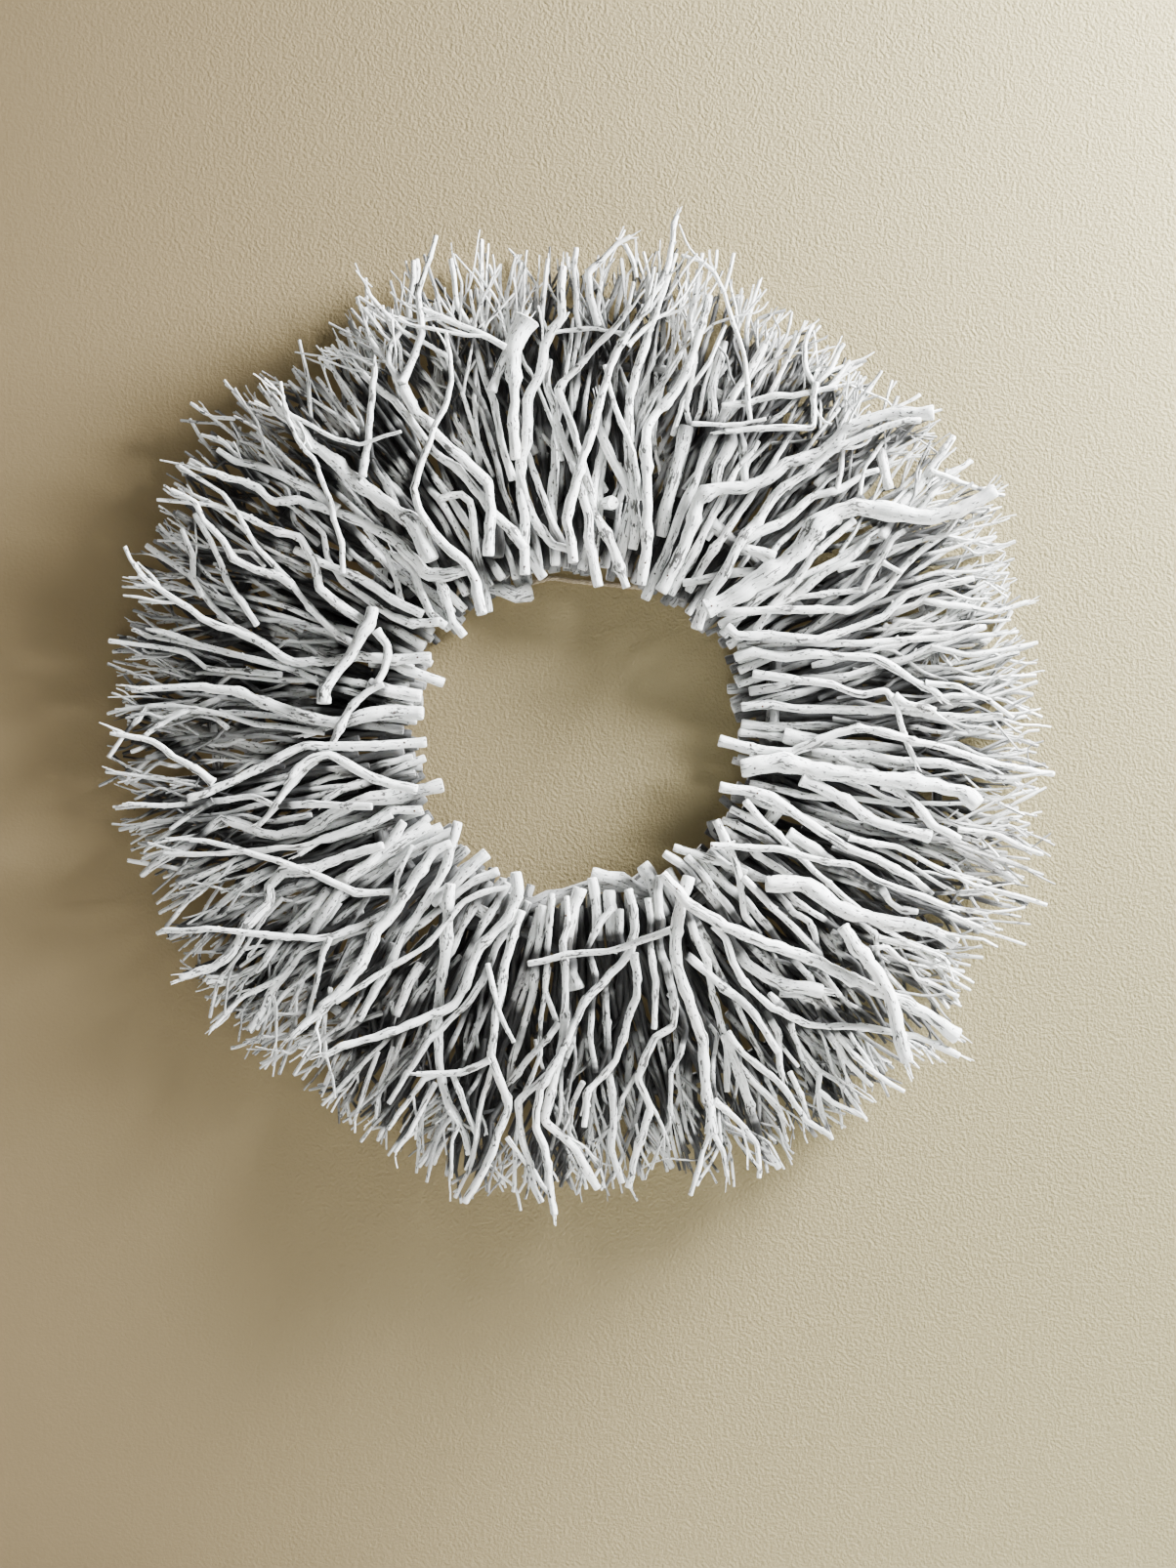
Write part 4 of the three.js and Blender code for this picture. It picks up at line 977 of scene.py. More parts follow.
class Tree:
    """Builds a node tree. A node's settings are made first, and then its sockets."""

    def __init__(self, tree):
        self.tree = tree

    def node(self, kind, settings=(), sockets=(), output=0):
        node = self.tree.nodes.new(kind)
        for key, value in dict(settings).items():
            setattr(node, key, value)
        for key, value in dict(sockets).items():
            if isinstance(value, Wire):
                self.tree.links.new(value.socket, node.inputs[key])
            else:
                node.inputs[key].default_value = value
        return Wire(self, node.outputs[output]) if node.outputs else None

    def math(self, operation, *values):
        return self.node("ShaderNodeMath", {"operation": operation}, enumerate(values))

    def vector(self, operation, *values):
        return self.node("ShaderNodeVectorMath", {"operation": operation}, enumerate(values))

    def scaled(self, vector, scale):
        sockets = {0: vector, "Scale": scale}
        return self.node("ShaderNodeVectorMath", {"operation": "SCALE"}, sockets)

    def noise(self, vector, **sockets):
        return self.node("ShaderNodeTexNoise", {}, {"Vector": vector, **sockets})

    def mix(self, factor, first, second, blend="MIX"):
        settings = {"data_type": "RGBA", "blend_type": blend, "clamp_factor": True}
        return self.node("ShaderNodeMix", settings, {0: factor, 6: first, 7: second}, output=2)

    def step(self, value, low, high):
        """0 below low, 1 above high and smooth between them; high may be the lesser."""
        settings = {"interpolation_type": "SMOOTHSTEP", "clamp": True}
        sockets = {"Value": value, "From Min": low, "From Max": high}
        return self.node("ShaderNodeMapRange", settings, sockets)


def fresh_group(name, inputs):
    """A group of Geometry Nodes with these named inputs, each of a kind and with its default."""
    group = bpy.data.node_groups.new(name, "GeometryNodeTree")
    group.interface.new_socket("Geometry", in_out="OUTPUT", socket_type="NodeSocketGeometry")
    for key, (kind, default) in inputs.items():
        socket = group.interface.new_socket(key, in_out="INPUT", socket_type=f"NodeSocket{kind}")
        if default is not None:
            socket.default_value = default
    tree = Tree(group)
    entry = tree.node("NodeGroupInput").socket.node
    return tree, {key: Wire(tree, entry.outputs[key]) for key in inputs}


def ended(tree, geometry, finish):
    """Ends a group of Geometry Nodes: its instances become real and get their material."""
    geometry = tree.node("GeometryNodeRealizeInstances", {}, {"Geometry": geometry})
    sockets = {"Geometry": geometry, "Material": finish}
    geometry = tree.node("GeometryNodeSetMaterial", {}, sockets)
    tree.node("NodeGroupOutput", {}, {"Geometry": geometry})
    return tree.tree


def skin_tree(sizes):
    """Geometry Nodes that give each line a round skin of its own thickness, with lumps."""
    tree, given = fresh_group("Branch skin", {
        "Sticks": ("Geometry", None),
        "Thick sides": ("Int", sizes.thick_sides),
        "Slim sides": ("Int", sizes.slim_sides),
        "Twig sides": ("Int", sizes.twig_sides),
        "Lump size": ("Float", sizes.lump_size),
        "Lump depth": ("Float", sizes.lump_depth),
        "Seed": ("Float", float(sizes.seed)),
        "Finish": ("Material", None),
    })

    def named(name, kind="FLOAT"):
        return tree.node("GeometryNodeInputNamedAttribute", {"data_type": kind}, {"Name": name})

    def stored(geometry, name, value, kind="FLOAT_VECTOR"):
        settings = {"data_type": kind, "domain": "POINT"}
        sockets = {"Geometry": geometry, "Name": name, "Value": value}
        return tree.node("GeometryNodeStoreNamedAttribute", settings, sockets)

    position = tree.node("GeometryNodeInputPosition")
    curve = tree.node("GeometryNodeMeshToCurve", {}, {"Mesh": given["Sticks"]})
    curve = stored(curve, "core", position)
    thickness = named("thickness")
    tubes = []
    for level, sides in ((THICK, "Thick sides"), (SLIM, "Slim sides"), (TWIG, "Twig sides")):
        chosen = tree.math("COMPARE", named("level"), level, 0.5)
        sockets = {"Geometry": curve, "Selection": chosen}
        part = tree.node("GeometryNodeSeparateGeometry", {"domain": "CURVE"}, sockets)
        sockets = {"Resolution": given[sides], "Radius": 1.0}
        profile = tree.node("GeometryNodeCurvePrimitiveCircle", {}, sockets)
        profile = stored(profile, "around", position)
        sockets = {"Curve": part, "Profile Curve": profile, "Scale": thickness, "Fill Caps": True}
        tubes.append(tree.node("GeometryNodeCurveToMesh", {}, sockets))
    joined = tree.node("GeometryNodeJoinGeometry")
    for tube in tubes:
        tree.tree.links.new(tube.socket, joined.socket.node.inputs[0])
    axis = tree.node("ShaderNodeCombineXYZ", {}, {"Z": named("along")})
    grain = tree.vector("ADD", tree.scaled(named("around", "FLOAT_VECTOR"), named("thickness")), axis)
    wood = stored(joined, "grain", grain)
    size = given["Lump size"]
    sockets = {"X": size, "Y": size, "Z": size * LUMP_STRETCH}
    lump = tree.node("ShaderNodeCombineXYZ", {}, sockets)
    spots = tree.vector("DIVIDE", named("grain", "FLOAT_VECTOR"), lump)
    sockets = {"Vector": spots, "W": given["Seed"], "Scale": 1.0, "Detail": 2.0}
    lumps = tree.node("ShaderNodeTexNoise", {"noise_dimensions": "4D"}, sockets)
    core = named("core", "FLOAT_VECTOR")
    swell = 1 + (lumps - 0.5) * given["Lump depth"]
    place = tree.vector("ADD", core, tree.scaled(tree.vector("SUBTRACT", position, core), swell))
    wood = tree.node("GeometryNodeSetPosition", {}, {"Geometry": wood, "Position": place})
    normal = tree.node("GeometryNodeInputNormal")
    wallward = tree.node("ShaderNodeSeparateXYZ", {}, {0: normal}, output=1)
    return ended(tree, stored(wood, "wallward", wallward, "FLOAT"), given["Finish"])


def with_skin(name, sticks, group, finish):
    """A plain mesh object of the sticks in their skin, with its corners kept sharp."""
    holder = bpy.data.objects.new(name, sticks)
    bpy.context.scene.collection.objects.link(holder)
    skin = holder.modifiers.new("Skin", "NODES")
    skin.node_group = group
    for item in group.interface.items_tree:
        if item.in_out == "INPUT" and item.name == "Finish":
            skin[item.identifier] = finish
    graph = bpy.context.evaluated_depsgraph_get()
    mesh = bpy.data.meshes.new_from_object(
        holder.evaluated_get(graph), preserve_all_data_layers=True, depsgraph=graph
    )
    bpy.data.objects.remove(holder)
    bpy.data.meshes.remove(sticks)
    for key in ("core", "around", "along", "thickness", "level"):
        layer = mesh.attributes.get(key)
        if layer:
            mesh.attributes.remove(layer)
    mesh.name = name
    mesh.shade_smooth()
    mesh.set_sharp_from_angle(angle=SHARP_ANGLE)
    piece = bpy.data.objects.new(name, mesh)
    bpy.context.scene.collection.objects.link(piece)
    return piece


def bumps(along, spots, heights, widths):
    """A row of smooth bumps along a stick, added up."""
    away = (along[:, None] - spots[None, :]) / widths[None, :]
    return (heights * np.exp(-(away**2))).sum(axis=1)


@functools.cache
def front_heights():
    """How far the front of the wreath stands off the wall, on a square grid of the chart."""
    side = int(2 * CHART_REACH / FRONT_CELL)
    front = np.zeros((side, side))
    steps = int(FRONT_SPREAD / FRONT_CELL)
    for branch in branches():
        line, _ = smooth_line(np.column_stack([branch.points, branch.heights]), FRONT_CELL)
        cells = ((line[:, :2] - CENTRE + CHART_REACH) / FRONT_CELL).astype(int)
        for i in range(-steps, steps + 1):
            for j in range(-steps, steps + 1):
                if math.hypot(i, j) <= steps:
                    spots = tuple(np.clip(cells + (i, j), 0, side - 1).T)
                    np.maximum.at(front, spots, line[:, 2])
    for axis in (0, 1):
        front = sum(np.roll(front, step, axis) for step in range(-steps, steps + 1)) / (2 * steps + 1)
    return front


def depth_shading(line):
    """Painted shade for a stick: full light at the front, darker the further it lies behind others,
    and lighter again near the hole and at the rim, where light gets in."""
    front = front_heights()
    cells = ((line[:, :2] - CENTRE + CHART_REACH) / FRONT_CELL).astype(int)
    cells = np.clip(cells, 0, len(front) - 1)
    behind = front[cells[:, 0], cells[:, 1]] - line[:, 2]
    lit_share = 1 - (behind - LIT_DEPTH) / (DARK_DEPTH - LIT_DEPTH)
    away = np.hypot(*(line[:, :2] - CENTRE).T)
    for start, full, share in (HOLE_LIGHT, RIM_LIGHT):
        lit_share = np.maximum(lit_share, share * np.clip((away - start) / (full - start), 0, 1))
    return np.minimum(lit_share, 1)


class Dresser:
    """Turns plain sticks into knotty, crooked ones with twigs, all from one seed."""

    def __init__(self, sizes, seed):
        self.sizes = sizes
        self.rng = np.random.default_rng([sizes.seed, seed])
        self.shade = 1

    def between(self, limits, count=None):
        return self.rng.uniform(limits[0], limits[1], count)

    def dressed(self, points, shares, radii, coarse=1.0, arm=False):
        """The stick's crooked line, its radii, with knots and a flared fork, and its wear there."""
        radii = np.asarray(radii) * ROUND_SHARE
        mean = float(np.mean(radii))
        spacing = np.clip(mean * RING_SPACING, *RING_LIMITS) * coarse
        line, along = smooth_line(points, spacing, crisp=CRISP)
        radii = np.interp(along / along[-1], shares, radii)
        length = along[-1]
        line, radii, wear = self.knotted(line, along, radii, mean)
        wobble = sum(self.wave(along, wave) for wave in WOBBLE_WAVES)
        for wave in GIRTH_WAVES:
            swing = np.sin(2 * np.pi * (along / wave + self.rng.uniform()))
            radii = radii * (1 + GIRTH_SWING * self.rng.uniform() * swing)
        fade = np.clip(np.minimum(along, length - along) / WOBBLE_FADE, 0, 1)[:, None]
        line = line + wobble * fade * mean * WOBBLE
        if radii[-1] > CLUB_RADIUS:
            from_tip = (length - along) / (CLUB_LENGTH * radii[-1])
            radii = radii * (1 + self.between(CLUB_SWELL) * np.exp(-(from_tip**2)))
        if arm:
            radii = radii * (1 + FORK_FLARE * np.exp(-along / (FORK_FLARE_LENGTH * radii[0])))
        line[:, 2] = np.maximum(line[:, 2], radii + WALL_SPACE)
        return line, radii, wear

    def knotted(self, line, along, radii, mean):
        """The stick with knots, where it swells, wears and changes direction."""
        length = along[-1]
        gap = self.sizes.knot_spacing / MM * (KNOT_GAP_LEAST + mean / KNOT_GAP_RADIUS)
        spots = np.cumsum(self.between(KNOT_GAPS, int(length / gap) + 1)) * gap
        spots = spots[spots < length - KNOT_END]
        count = len(spots)
        if not count:
            return line, radii, np.zeros(len(line))
        at = np.interp(spots, along, radii)
        swell = self.between(KNOT_SWELL, count) ** KNOT_SWELL_POWER * self.sizes.knot_swell
        radii = radii * (1 + bumps(along, spots, swell, at * self.between(KNOT_WIDTH, count)))
        worn = self.between(KNOT_WEAR, count)
        wear = np.minimum(1, bumps(along, spots, worn, at * KNOT_WEAR_WIDTH))
        sign = self.rng.choice([-1, 1], count)
        kinks = sign * self.between(KINK, count) ** KINK_POWER * at
        rises = self.between((-1, 1), count) * KINK[1] * at * KINK_RISE
        knots = np.concatenate([[0], spots, [length]])
        across = np.interp(along, knots, np.concatenate([[0], kinks, [0]]))
        line = line + sideways(line) * across[:, None]
        line[:, 2] += np.interp(along, knots, np.concatenate([[0], rises, [0]]))
        return line, radii, wear

    def wave(self, along, wave):
        """A slow swing to the sides and off the wall, of one wavelength."""
        swing = np.sin(2 * np.pi * (along / wave + self.rng.uniform()))[:, None]
        return swing * np.array([*self.between((-1, 1), 2), self.between(WOBBLE_RISE)])

    def sawn(self, line, radii, wear):
        """The stick with a small bevel at both sawn ends."""
        first = line[0] + (line[1] - line[0]) * BEVEL_SHARE
        last = line[-1] + (line[-2] - line[-1]) * BEVEL_SHARE
        line = np.vstack([line[:1], first, line[1:-1], last, line[-1:]])
        radii = np.concatenate(
            [[radii[0] * BEVEL], radii[:1], radii[1:-1], radii[-1:], [radii[-1] * BEVEL]]
        )
        return line, radii, np.concatenate([wear[:1], wear, wear[-1:]])

    def twig(self, bundle, root, heading, length, radius, reach, children):
        """A thin twig that leaves its branch at an angle and turns outwards, with twigs of its own."""
        outward = np.append(root[:2] - CENTRE, 0)
        outward /= np.linalg.norm(outward)
        points = [root]
        direction = heading / np.linalg.norm(heading)
        for _ in range(TWIG_BENDS):
            turn = self.rng.normal(0, TWIG_WANDER, 3)
            direction = direction + outward * TWIG_OUTWARDS + turn * TWIG_WANDER_AXES
            direction /= np.linalg.norm(direction)
            points.append(points[-1] + direction * length / TWIG_BENDS)
        points = np.array(points)
        span = np.hypot(*(points[:, :2] - CENTRE).T)
        limit = reach(points[-1]) * self.between(TWIG_RIM)
        if span[-1] > limit:
            points = root + (points - root) * max(0.0, (limit - span[0]) / (span[-1] - span[0]))
            if np.linalg.norm(points[-1] - root) < TWIG_LEAST:
                return
        points[:, 2] = np.clip(points[:, 2], radius + WALL_SPACE, MOST_HEIGHT)
        line, along = smooth_line(points, TWIG_RING, crisp=TWIG_CRISP)
        tip = min(radius, TWIG_TIP * self.between(TWIG_GIRTH))
        radii = radius + (tip - radius) * (along / along[-1])
        bundle.add(line, radii, self.toned(line), TWIG)
        for _ in range(self.rng.integers(0, children + 1)):
            k = int(len(line) * self.between(TWIG_CHILD_PLACE))
            heading = self.turned(line[min(k + 1, len(line) - 1)] - line[k - 1])
            span = length * self.between(TWIG_CHILD_SPAN)
            girth = radii[k] * TWIG_CHILD_GIRTH
            self.twig(bundle, line[k], heading, span, girth, reach, children - 1)

    def turned(self, ahead):
        """A direction to one side of ahead, as a side twig takes."""
        ahead = ahead / np.linalg.norm(ahead)
        angle = self.rng.choice([-1, 1]) * np.radians(self.between(TWIG_ANGLE))
        cos, sin = np.cos(angle), np.sin(angle)
        u, v, h = ahead
        return np.array([u * cos - v * sin, u * sin + v * cos, h + self.between(TWIG_RISE)])

    # Painted shade for a line: from its depth behind the front, times the thicket's drawn shade, with
    # a random swing.
    def toned(self, line):
        return np.clip(depth_shading(line) * self.shade + self.between(TONE_SWING), 0, 1)

    def add_twigs(self, bundle, line, radii, reach, spacing):
        """Side twigs along the outer part of a branch, more of them towards the rim."""
        from_centre = np.hypot(line[:, 0] - CENTRE[0], line[:, 1] - CENTRE[1])
        room = np.clip((from_centre - TWIG_START) / (TWIG_FULL - TWIG_START), 0, 1)
        strides = np.append(np.linalg.norm(np.diff(line, axis=0), axis=1), 0)
        chance = np.cumsum(room * strides) / spacing
        for _ in range(int(chance[-1] + self.rng.uniform())):
            k = int(np.searchsorted(chance, self.rng.uniform(0, chance[-1])))
            k = min(max(k, 1), len(line) - 2)
            length = self.sizes.twig_length / MM * self.between(TWIG_SPAN)
            girth = self.sizes.twig_thickness / MM / 2 * self.between(TWIG_GIRTH)
            heading = self.turned(line[k + 1] - line[k - 1])
            radius = min(radii[k] * TWIG_MOST_GIRTH, girth)
            self.twig(bundle, line[k], heading, length, radius, reach, TWIG_CHILDREN)

    def add_stubs(self, bundle, line, radii):
        """Short stubs of broken-off twigs."""
        most = STUB_COUNT + int(np.linalg.norm(line[-1] - line[0]) / STUB_SPACING)
        for _ in range(self.rng.integers(0, most)):
            k = int(self.rng.integers(2, max(3, len(line) - 2)))
            k = min(k, len(line) - 2)
            heading = self.turned(line[k + 1] - line[k - 1])
            length = radii[k] + self.between(STUB)
            tip = line[k] + heading / np.linalg.norm(heading) * length
            stub = np.linspace(line[k], tip, len(STUB_TAPER))
            radius = radii[k] * self.between(STUB_GIRTH)
            stub[:, 2] = np.maximum(stub[:, 2], radii[k] + WALL_SPACE)
            bundle.add(stub, radius * STUB_TAPER, self.toned(stub), TWIG, sawn=True)

    def add_splinters(self, bundle, line, radii):
        """Splinters at a torn tip."""
        ahead = line[-1] - line[-3]
        ahead /= np.linalg.norm(ahead)
        for _ in range(self.rng.integers(*SPLINTERS)):
            aside = self.rng.normal(0, radii[-1] * SPLINTER_SPREAD, 3)
            start = line[-1] - ahead * SPLINTER_ROOT + aside
            heading = ahead + self.rng.normal(0, SPLINTER_TURN, 3)
            tip = start + heading * self.between(SPLINTER)
            fibre = np.linspace(start, tip, len(SPLINTER_RADII))
            fibre[:, 2] = np.maximum(fibre[:, 2], WALL_SPACE * 2)
            bundle.add(fibre, SPLINTER_RADII, self.toned(fibre), TWIG)

    def add_branch(self, bundle, branch, reach, twigs=True):
        points = np.column_stack([branch.points, branch.heights])
        shares = branch.lengths / branch.length
        low = branch.heights.mean() < COARSE_HEIGHT
        arm = branch.parent is not None
        line, radii, wear = self.dressed(points, shares, branch.radii, COARSE if low else 1.0, arm)
        # A thicket stick gets a painted shade of its own, drawn for each.
        self.shade = self.between(HIDDEN_SHADE) if branch.hidden else 1
        thick_tip = radii[-1] > TORN_LEAST_RADIUS
        torn = twigs and thick_tip and self.rng.uniform() < self.sizes.torn_share
        if twigs:
            spacing = self.sizes.twig_spacing / MM * (HIDDEN_TWIGS if branch.hidden else 1)
            self.add_twigs(bundle, line, radii, reach, spacing)
            self.add_stubs(bundle, line, radii)
        if torn:
            self.add_splinters(bundle, line, radii)
        line, radii, wear = self.sawn(line, radii, wear)
        level = THICK if radii.max() * MM > self.sizes.slim_below and not low else SLIM
        if radii.max() * MM < self.sizes.twig_below * (COARSE_TWIG if low else 1):
            level = TWIG
        bundle.add(line, radii, self.toned(line), level, sawn=True, wear=wear)


@functools.cache
def rim():
    """How far the wreath reaches from its centre, by direction."""
    tips = [np.hypot(*(branch.points[-1] - CENTRE)) for branch in branches()]
    turns = [math.atan2(*(branch.points[-1] - CENTRE)[::-1]) for branch in branches()]
    places = np.linspace(-math.pi, math.pi, RIM_PLACES + 1)
    reaches = []
    for place in places:
        away = [abs(math.remainder(turn - place, 2 * math.pi)) for turn in turns]
        near = [tip for tip, gap in zip(tips, away) if gap < RIM_SPAN]
        reaches.append(max(near + [RIM_RADIUS - RIM_RISE * math.sin(place)]))

    def reach(point):
        turn = math.atan2(point[1] - CENTRE[1], point[0] - CENTRE[0])
        return float(np.interp(turn, places, reaches))

    return reach


class Pile:
    """How far off the wall the CAD model's branches lie, by place on the chart."""

    def __init__(self):
        samples = []
        self.nodes = []
        for branch in branches():
            line, _ = smooth_line(np.column_stack([branch.points, branch.heights]), PILE_STEP)
            samples.append(line)
            self.nodes += [branch.node] * len(line)
        self.samples = np.concatenate(samples)
        self.tree = self.sorted_by_place(range(len(self.samples)))
        held = [k for k, node in enumerate(self.nodes) if node.startswith("hoop")]
        self.hoop_tree = self.sorted_by_place(held)

    def sorted_by_place(self, chosen):
        tree = KDTree(len(chosen))
        for k in chosen:
            tree.insert((*self.samples[k][:2], 0), k)
        tree.balance()
        return tree

    def height(self, place, share):
        """This share of the middle one of the heights near a place."""
        found = self.tree.find_range((place[0], place[1], 0), PILE_REACH)
        if not found:
            found = self.tree.find_n((place[0], place[1], 0), PILE_LEAST)
        return share * float(np.median([self.samples[k][2] for _, k, _ in found]))

    def hoop_node(self, place):
        """The inner hoop's node whose branches lie nearest to a place."""
        _, k, _ = self.hoop_tree.find((place[0], place[1], 0))
        return self.nodes[k]


def thicket(sizes):
    """More plain branches in the gaps, in layers from the wall to the front, and their forks."""
    rng = np.random.default_rng([sizes.seed, THICKET_SEED])
    pile = Pile()
    reach = rim()
    shares = np.linspace(0, 1, THICKET_POINTS)
    for count, roots, tips, thick, thin, depths in THICKET:
        count = int(count * sizes.thicket_density)
        for k in range(count):
            angle = 2 * math.pi * (k + rng.uniform(*THICKET_SPREAD)) / count
            root, tip = rng.uniform(*roots), rng.uniform(*tips)
            skew, bow = rng.uniform(*THICKET_SKEW), rng.uniform(*THICKET_BOW)
            turns = angle + skew * shares + bow * np.sin(np.pi * shares)
            limit = reach(CENTRE + [math.cos(turns[-1]), -math.sin(turns[-1])])
            limit *= rng.uniform(*THICKET_RIM)
            away = root + (min(tip, limit) - root) * shares
            points = CENTRE + away[:, None] * np.column_stack([np.cos(turns), -np.sin(turns)])
            points[1:] += rng.normal(0, THICKET_KINK, (THICKET_POINTS - 1, 2))
            depth = rng.uniform(*depths)
            heights = [pile.height(point, depth) for point in points]
            heights = np.polyval(np.polyfit(shares, heights, 1), shares)
            branch = Branch([rng.uniform(*thick), rng.uniform(*thin)], points)
            heights += rng.uniform(-THICKET_LIFT, THICKET_LIFT, THICKET_POINTS)
            branch.heights = np.maximum(heights, branch.radii + WALL_SPACE)
            branch.node = pile.hoop_node(points[1])
            branch.hidden = True
            yield branch
            for _ in range(rng.integers(0, FORKS)):
                yield fork(branch, reach, rng)
    stump = Branch([STUMP_DIAMETER], STUMP_POINTS)
    stump.heights = np.array(STUMP_HEIGHTS, float)
    stump.node = pile.hoop_node(stump.points[0])
    stump.plain = True
    yield stump


def fork(parent, reach, rng):
    """A thinner branch that parts from another one and stays inside the rim."""
    place = rng.uniform(*FORK_PLACE) * parent.length
    start = np.array([np.interp(place, parent.lengths, parent.points[:, axis]) for axis in (0, 1)])
    k = min(int(np.searchsorted(parent.lengths, place)), len(parent.points) - 1)
    ahead = parent.points[k] - parent.points[k - 1]
    turn = rng.choice([-1, 1]) * math.radians(rng.uniform(*FORK_ANGLE))
    cos, sin = math.cos(turn), math.sin(turn)
    heading = np.array([ahead[0] * cos - ahead[1] * sin, ahead[0] * sin + ahead[1] * cos])
    heading /= np.hypot(*heading)
    span = parent.length * rng.uniform(*FORK_SPAN)
    away = np.hypot(*(start + heading * span - CENTRE))
    limit = reach(start + heading * span) * rng.uniform(*THICKET_RIM)
    span -= max(0, away - limit)
    points = start + np.outer(FORK_BENDS, heading) * span
    points[1:] += rng.normal(0, THICKET_KINK, (len(FORK_BENDS) - 1, 2))
    girth = 2 * np.interp(place, parent.lengths, parent.radii) * FORK_SHARE
    branch = Branch([girth, 2 * parent.radii[-1] * FORK_SHARE], points, parent)
    height = np.interp(place, parent.lengths, parent.heights)
    rises = np.multiply(FORK_BENDS, rng.uniform(*FORK_RISE) * THICKET_LIFT)
    branch.heights = np.maximum(height + rises, branch.radii + WALL_SPACE)
    branch.node = parent.node
    branch.hidden = True
    return branch


def rope_route():
    """The rope's middle line: a turn round a hoop stick, over the hook, and another turn."""
    sticks = [next(b for b in branches() if b.node == node) for node in ROPE_LOOP_NODES]
    rope = ROPE_DIAMETER / 2
    hook = np.array([*HOOK, rope + WALL_SPACE])
    halves = []
    for stick, spot in zip(sticks, ROPE_LOOPS):
        _, place = stick.nearest(np.array(spot, float))
        centre = np.array([*place, stick.height_near(place)])
        radius = np.interp(np.hypot(*(place - stick.points[0])), stick.lengths, stick.radii)
        loop = radius + ROPE_LOOP_SLACK + rope
        axis = np.append(stick.points[-1] - stick.points[0], 0)
        axis /= np.linalg.norm(axis)
        if np.dot(hook[:2] - place, axis[:2]) < 0:
            axis = -axis
        across = np.array([-axis[1], axis[0], 0])
        wallwards = np.array([0, 0, -1])
        turns = np.linspace(-2 * math.pi, 0, ROPE_LOOP_TURN + 1)
        ring = [
            centre
            + loop * (math.cos(turn) * wallwards + math.sin(turn) * across)
            + axis * ROPE_LOOP_SHIFT * turn / (2 * math.pi)
            for turn in turns
        ]
        bend = [
            ring[-1] + ROPE_BEND * (math.sin(turn) * across + (1 - math.cos(turn)) * axis)
            for turn in np.linspace(0, math.pi / 2, ROPE_BEND_STEPS + 1)[1:]
        ]
        aim = hook - bend[-1]
        halves.append([*ring, *bend, *(bend[-1] + aim * share for share in ROPE_STRAIGHT)])
    first, second = halves
    return smooth_line([*first, hook, *reversed(second)], ROPE_STEP)


def rope_strands(line, along):
    """The rope's strands, laid round its middle line."""
    tangents = np.gradient(line, axis=0)
    tangents /= np.linalg.norm(tangents, axis=1)[:, None]
    side = np.cross(tangents[0], ROPE_FIRST_SIDE)
    sides = []
    for tangent in tangents:
        side = side - tangent * np.dot(side, tangent)
        side /= np.linalg.norm(side)
        sides.append(side)
    sides = np.array(sides)
    ups = np.cross(tangents, sides)
    out = ROPE_DIAMETER / 2 - ROPE_STRAND_RADIUS
    for k in range(ROPE_STRANDS):
        turn = 2 * math.pi * (along / ROPE_LAY + k / ROPE_STRANDS)
        yield line + out * (np.cos(turn)[:, None] * sides + np.sin(turn)[:, None] * ups)


def nail_tree():
    """Geometry Nodes that put a nail head on each point, facing along its own direction."""
    tree, given = fresh_group("Nail heads", {
        "Places": ("Geometry", None),
        "Head": ("Float", NAIL_HEAD * MM),
        "Finish": ("Material", None),
    })
    sockets = {"Segments": NAIL_SEGMENTS, "Rings": NAIL_RINGS, "Radius": given["Head"]}
    dome = tree.node("GeometryNodeMeshUVSphere", {}, sockets)
    sockets = {"Geometry": dome, "Scale": (1, 1, NAIL_DOME)}
    dome = tree.node("GeometryNodeTransform", {}, sockets)
    settings = {"data_type": "FLOAT_VECTOR"}
    facing = tree.node("GeometryNodeInputNamedAttribute", settings, {"Name": "facing"})
    turn = tree.node("FunctionNodeAlignRotationToVector", {"axis": "Z"}, {"Vector": facing})
    sockets = {"Points": given["Places"], "Instance": dome, "Rotation": turn}
    heads = tree.node("GeometryNodeInstanceOnPoints", {}, sockets)
    return ended(tree, heads, given["Finish"])


def fresh_material(name):
    material = bpy.data.materials.new(name)
    material.use_nodes = True
    material.node_tree.nodes.clear()
    return material, Tree(material.node_tree)


def finished(tree, colour, roughness, **sockets):
    """Ends a material with its shader."""
    sockets = {"Base Color": colour, "Roughness": roughness, **sockets}
    shader = tree.node("ShaderNodeBsdfPrincipled", {}, sockets)
    tree.node("ShaderNodeOutputMaterial", {}, {"Surface": shader})


def bumped(tree, relief, bump):
    """A bump of that strength and that distance in metres."""
    sockets = {"Strength": bump[0], "Distance": bump[1], "Height": relief}
    return tree.node("ShaderNodeBump", {}, sockets)


def opaque(colour):
    return (*colour, 1)


def attribute(tree, name, output=1):
    """An attribute of the piece: as a vector, or as a number with output 2."""
    return tree.node("ShaderNodeAttribute", {"attribute_name": name}, output=output)


def object_place(tree):
    return tree.node("ShaderNodeTexCoord", output=3)


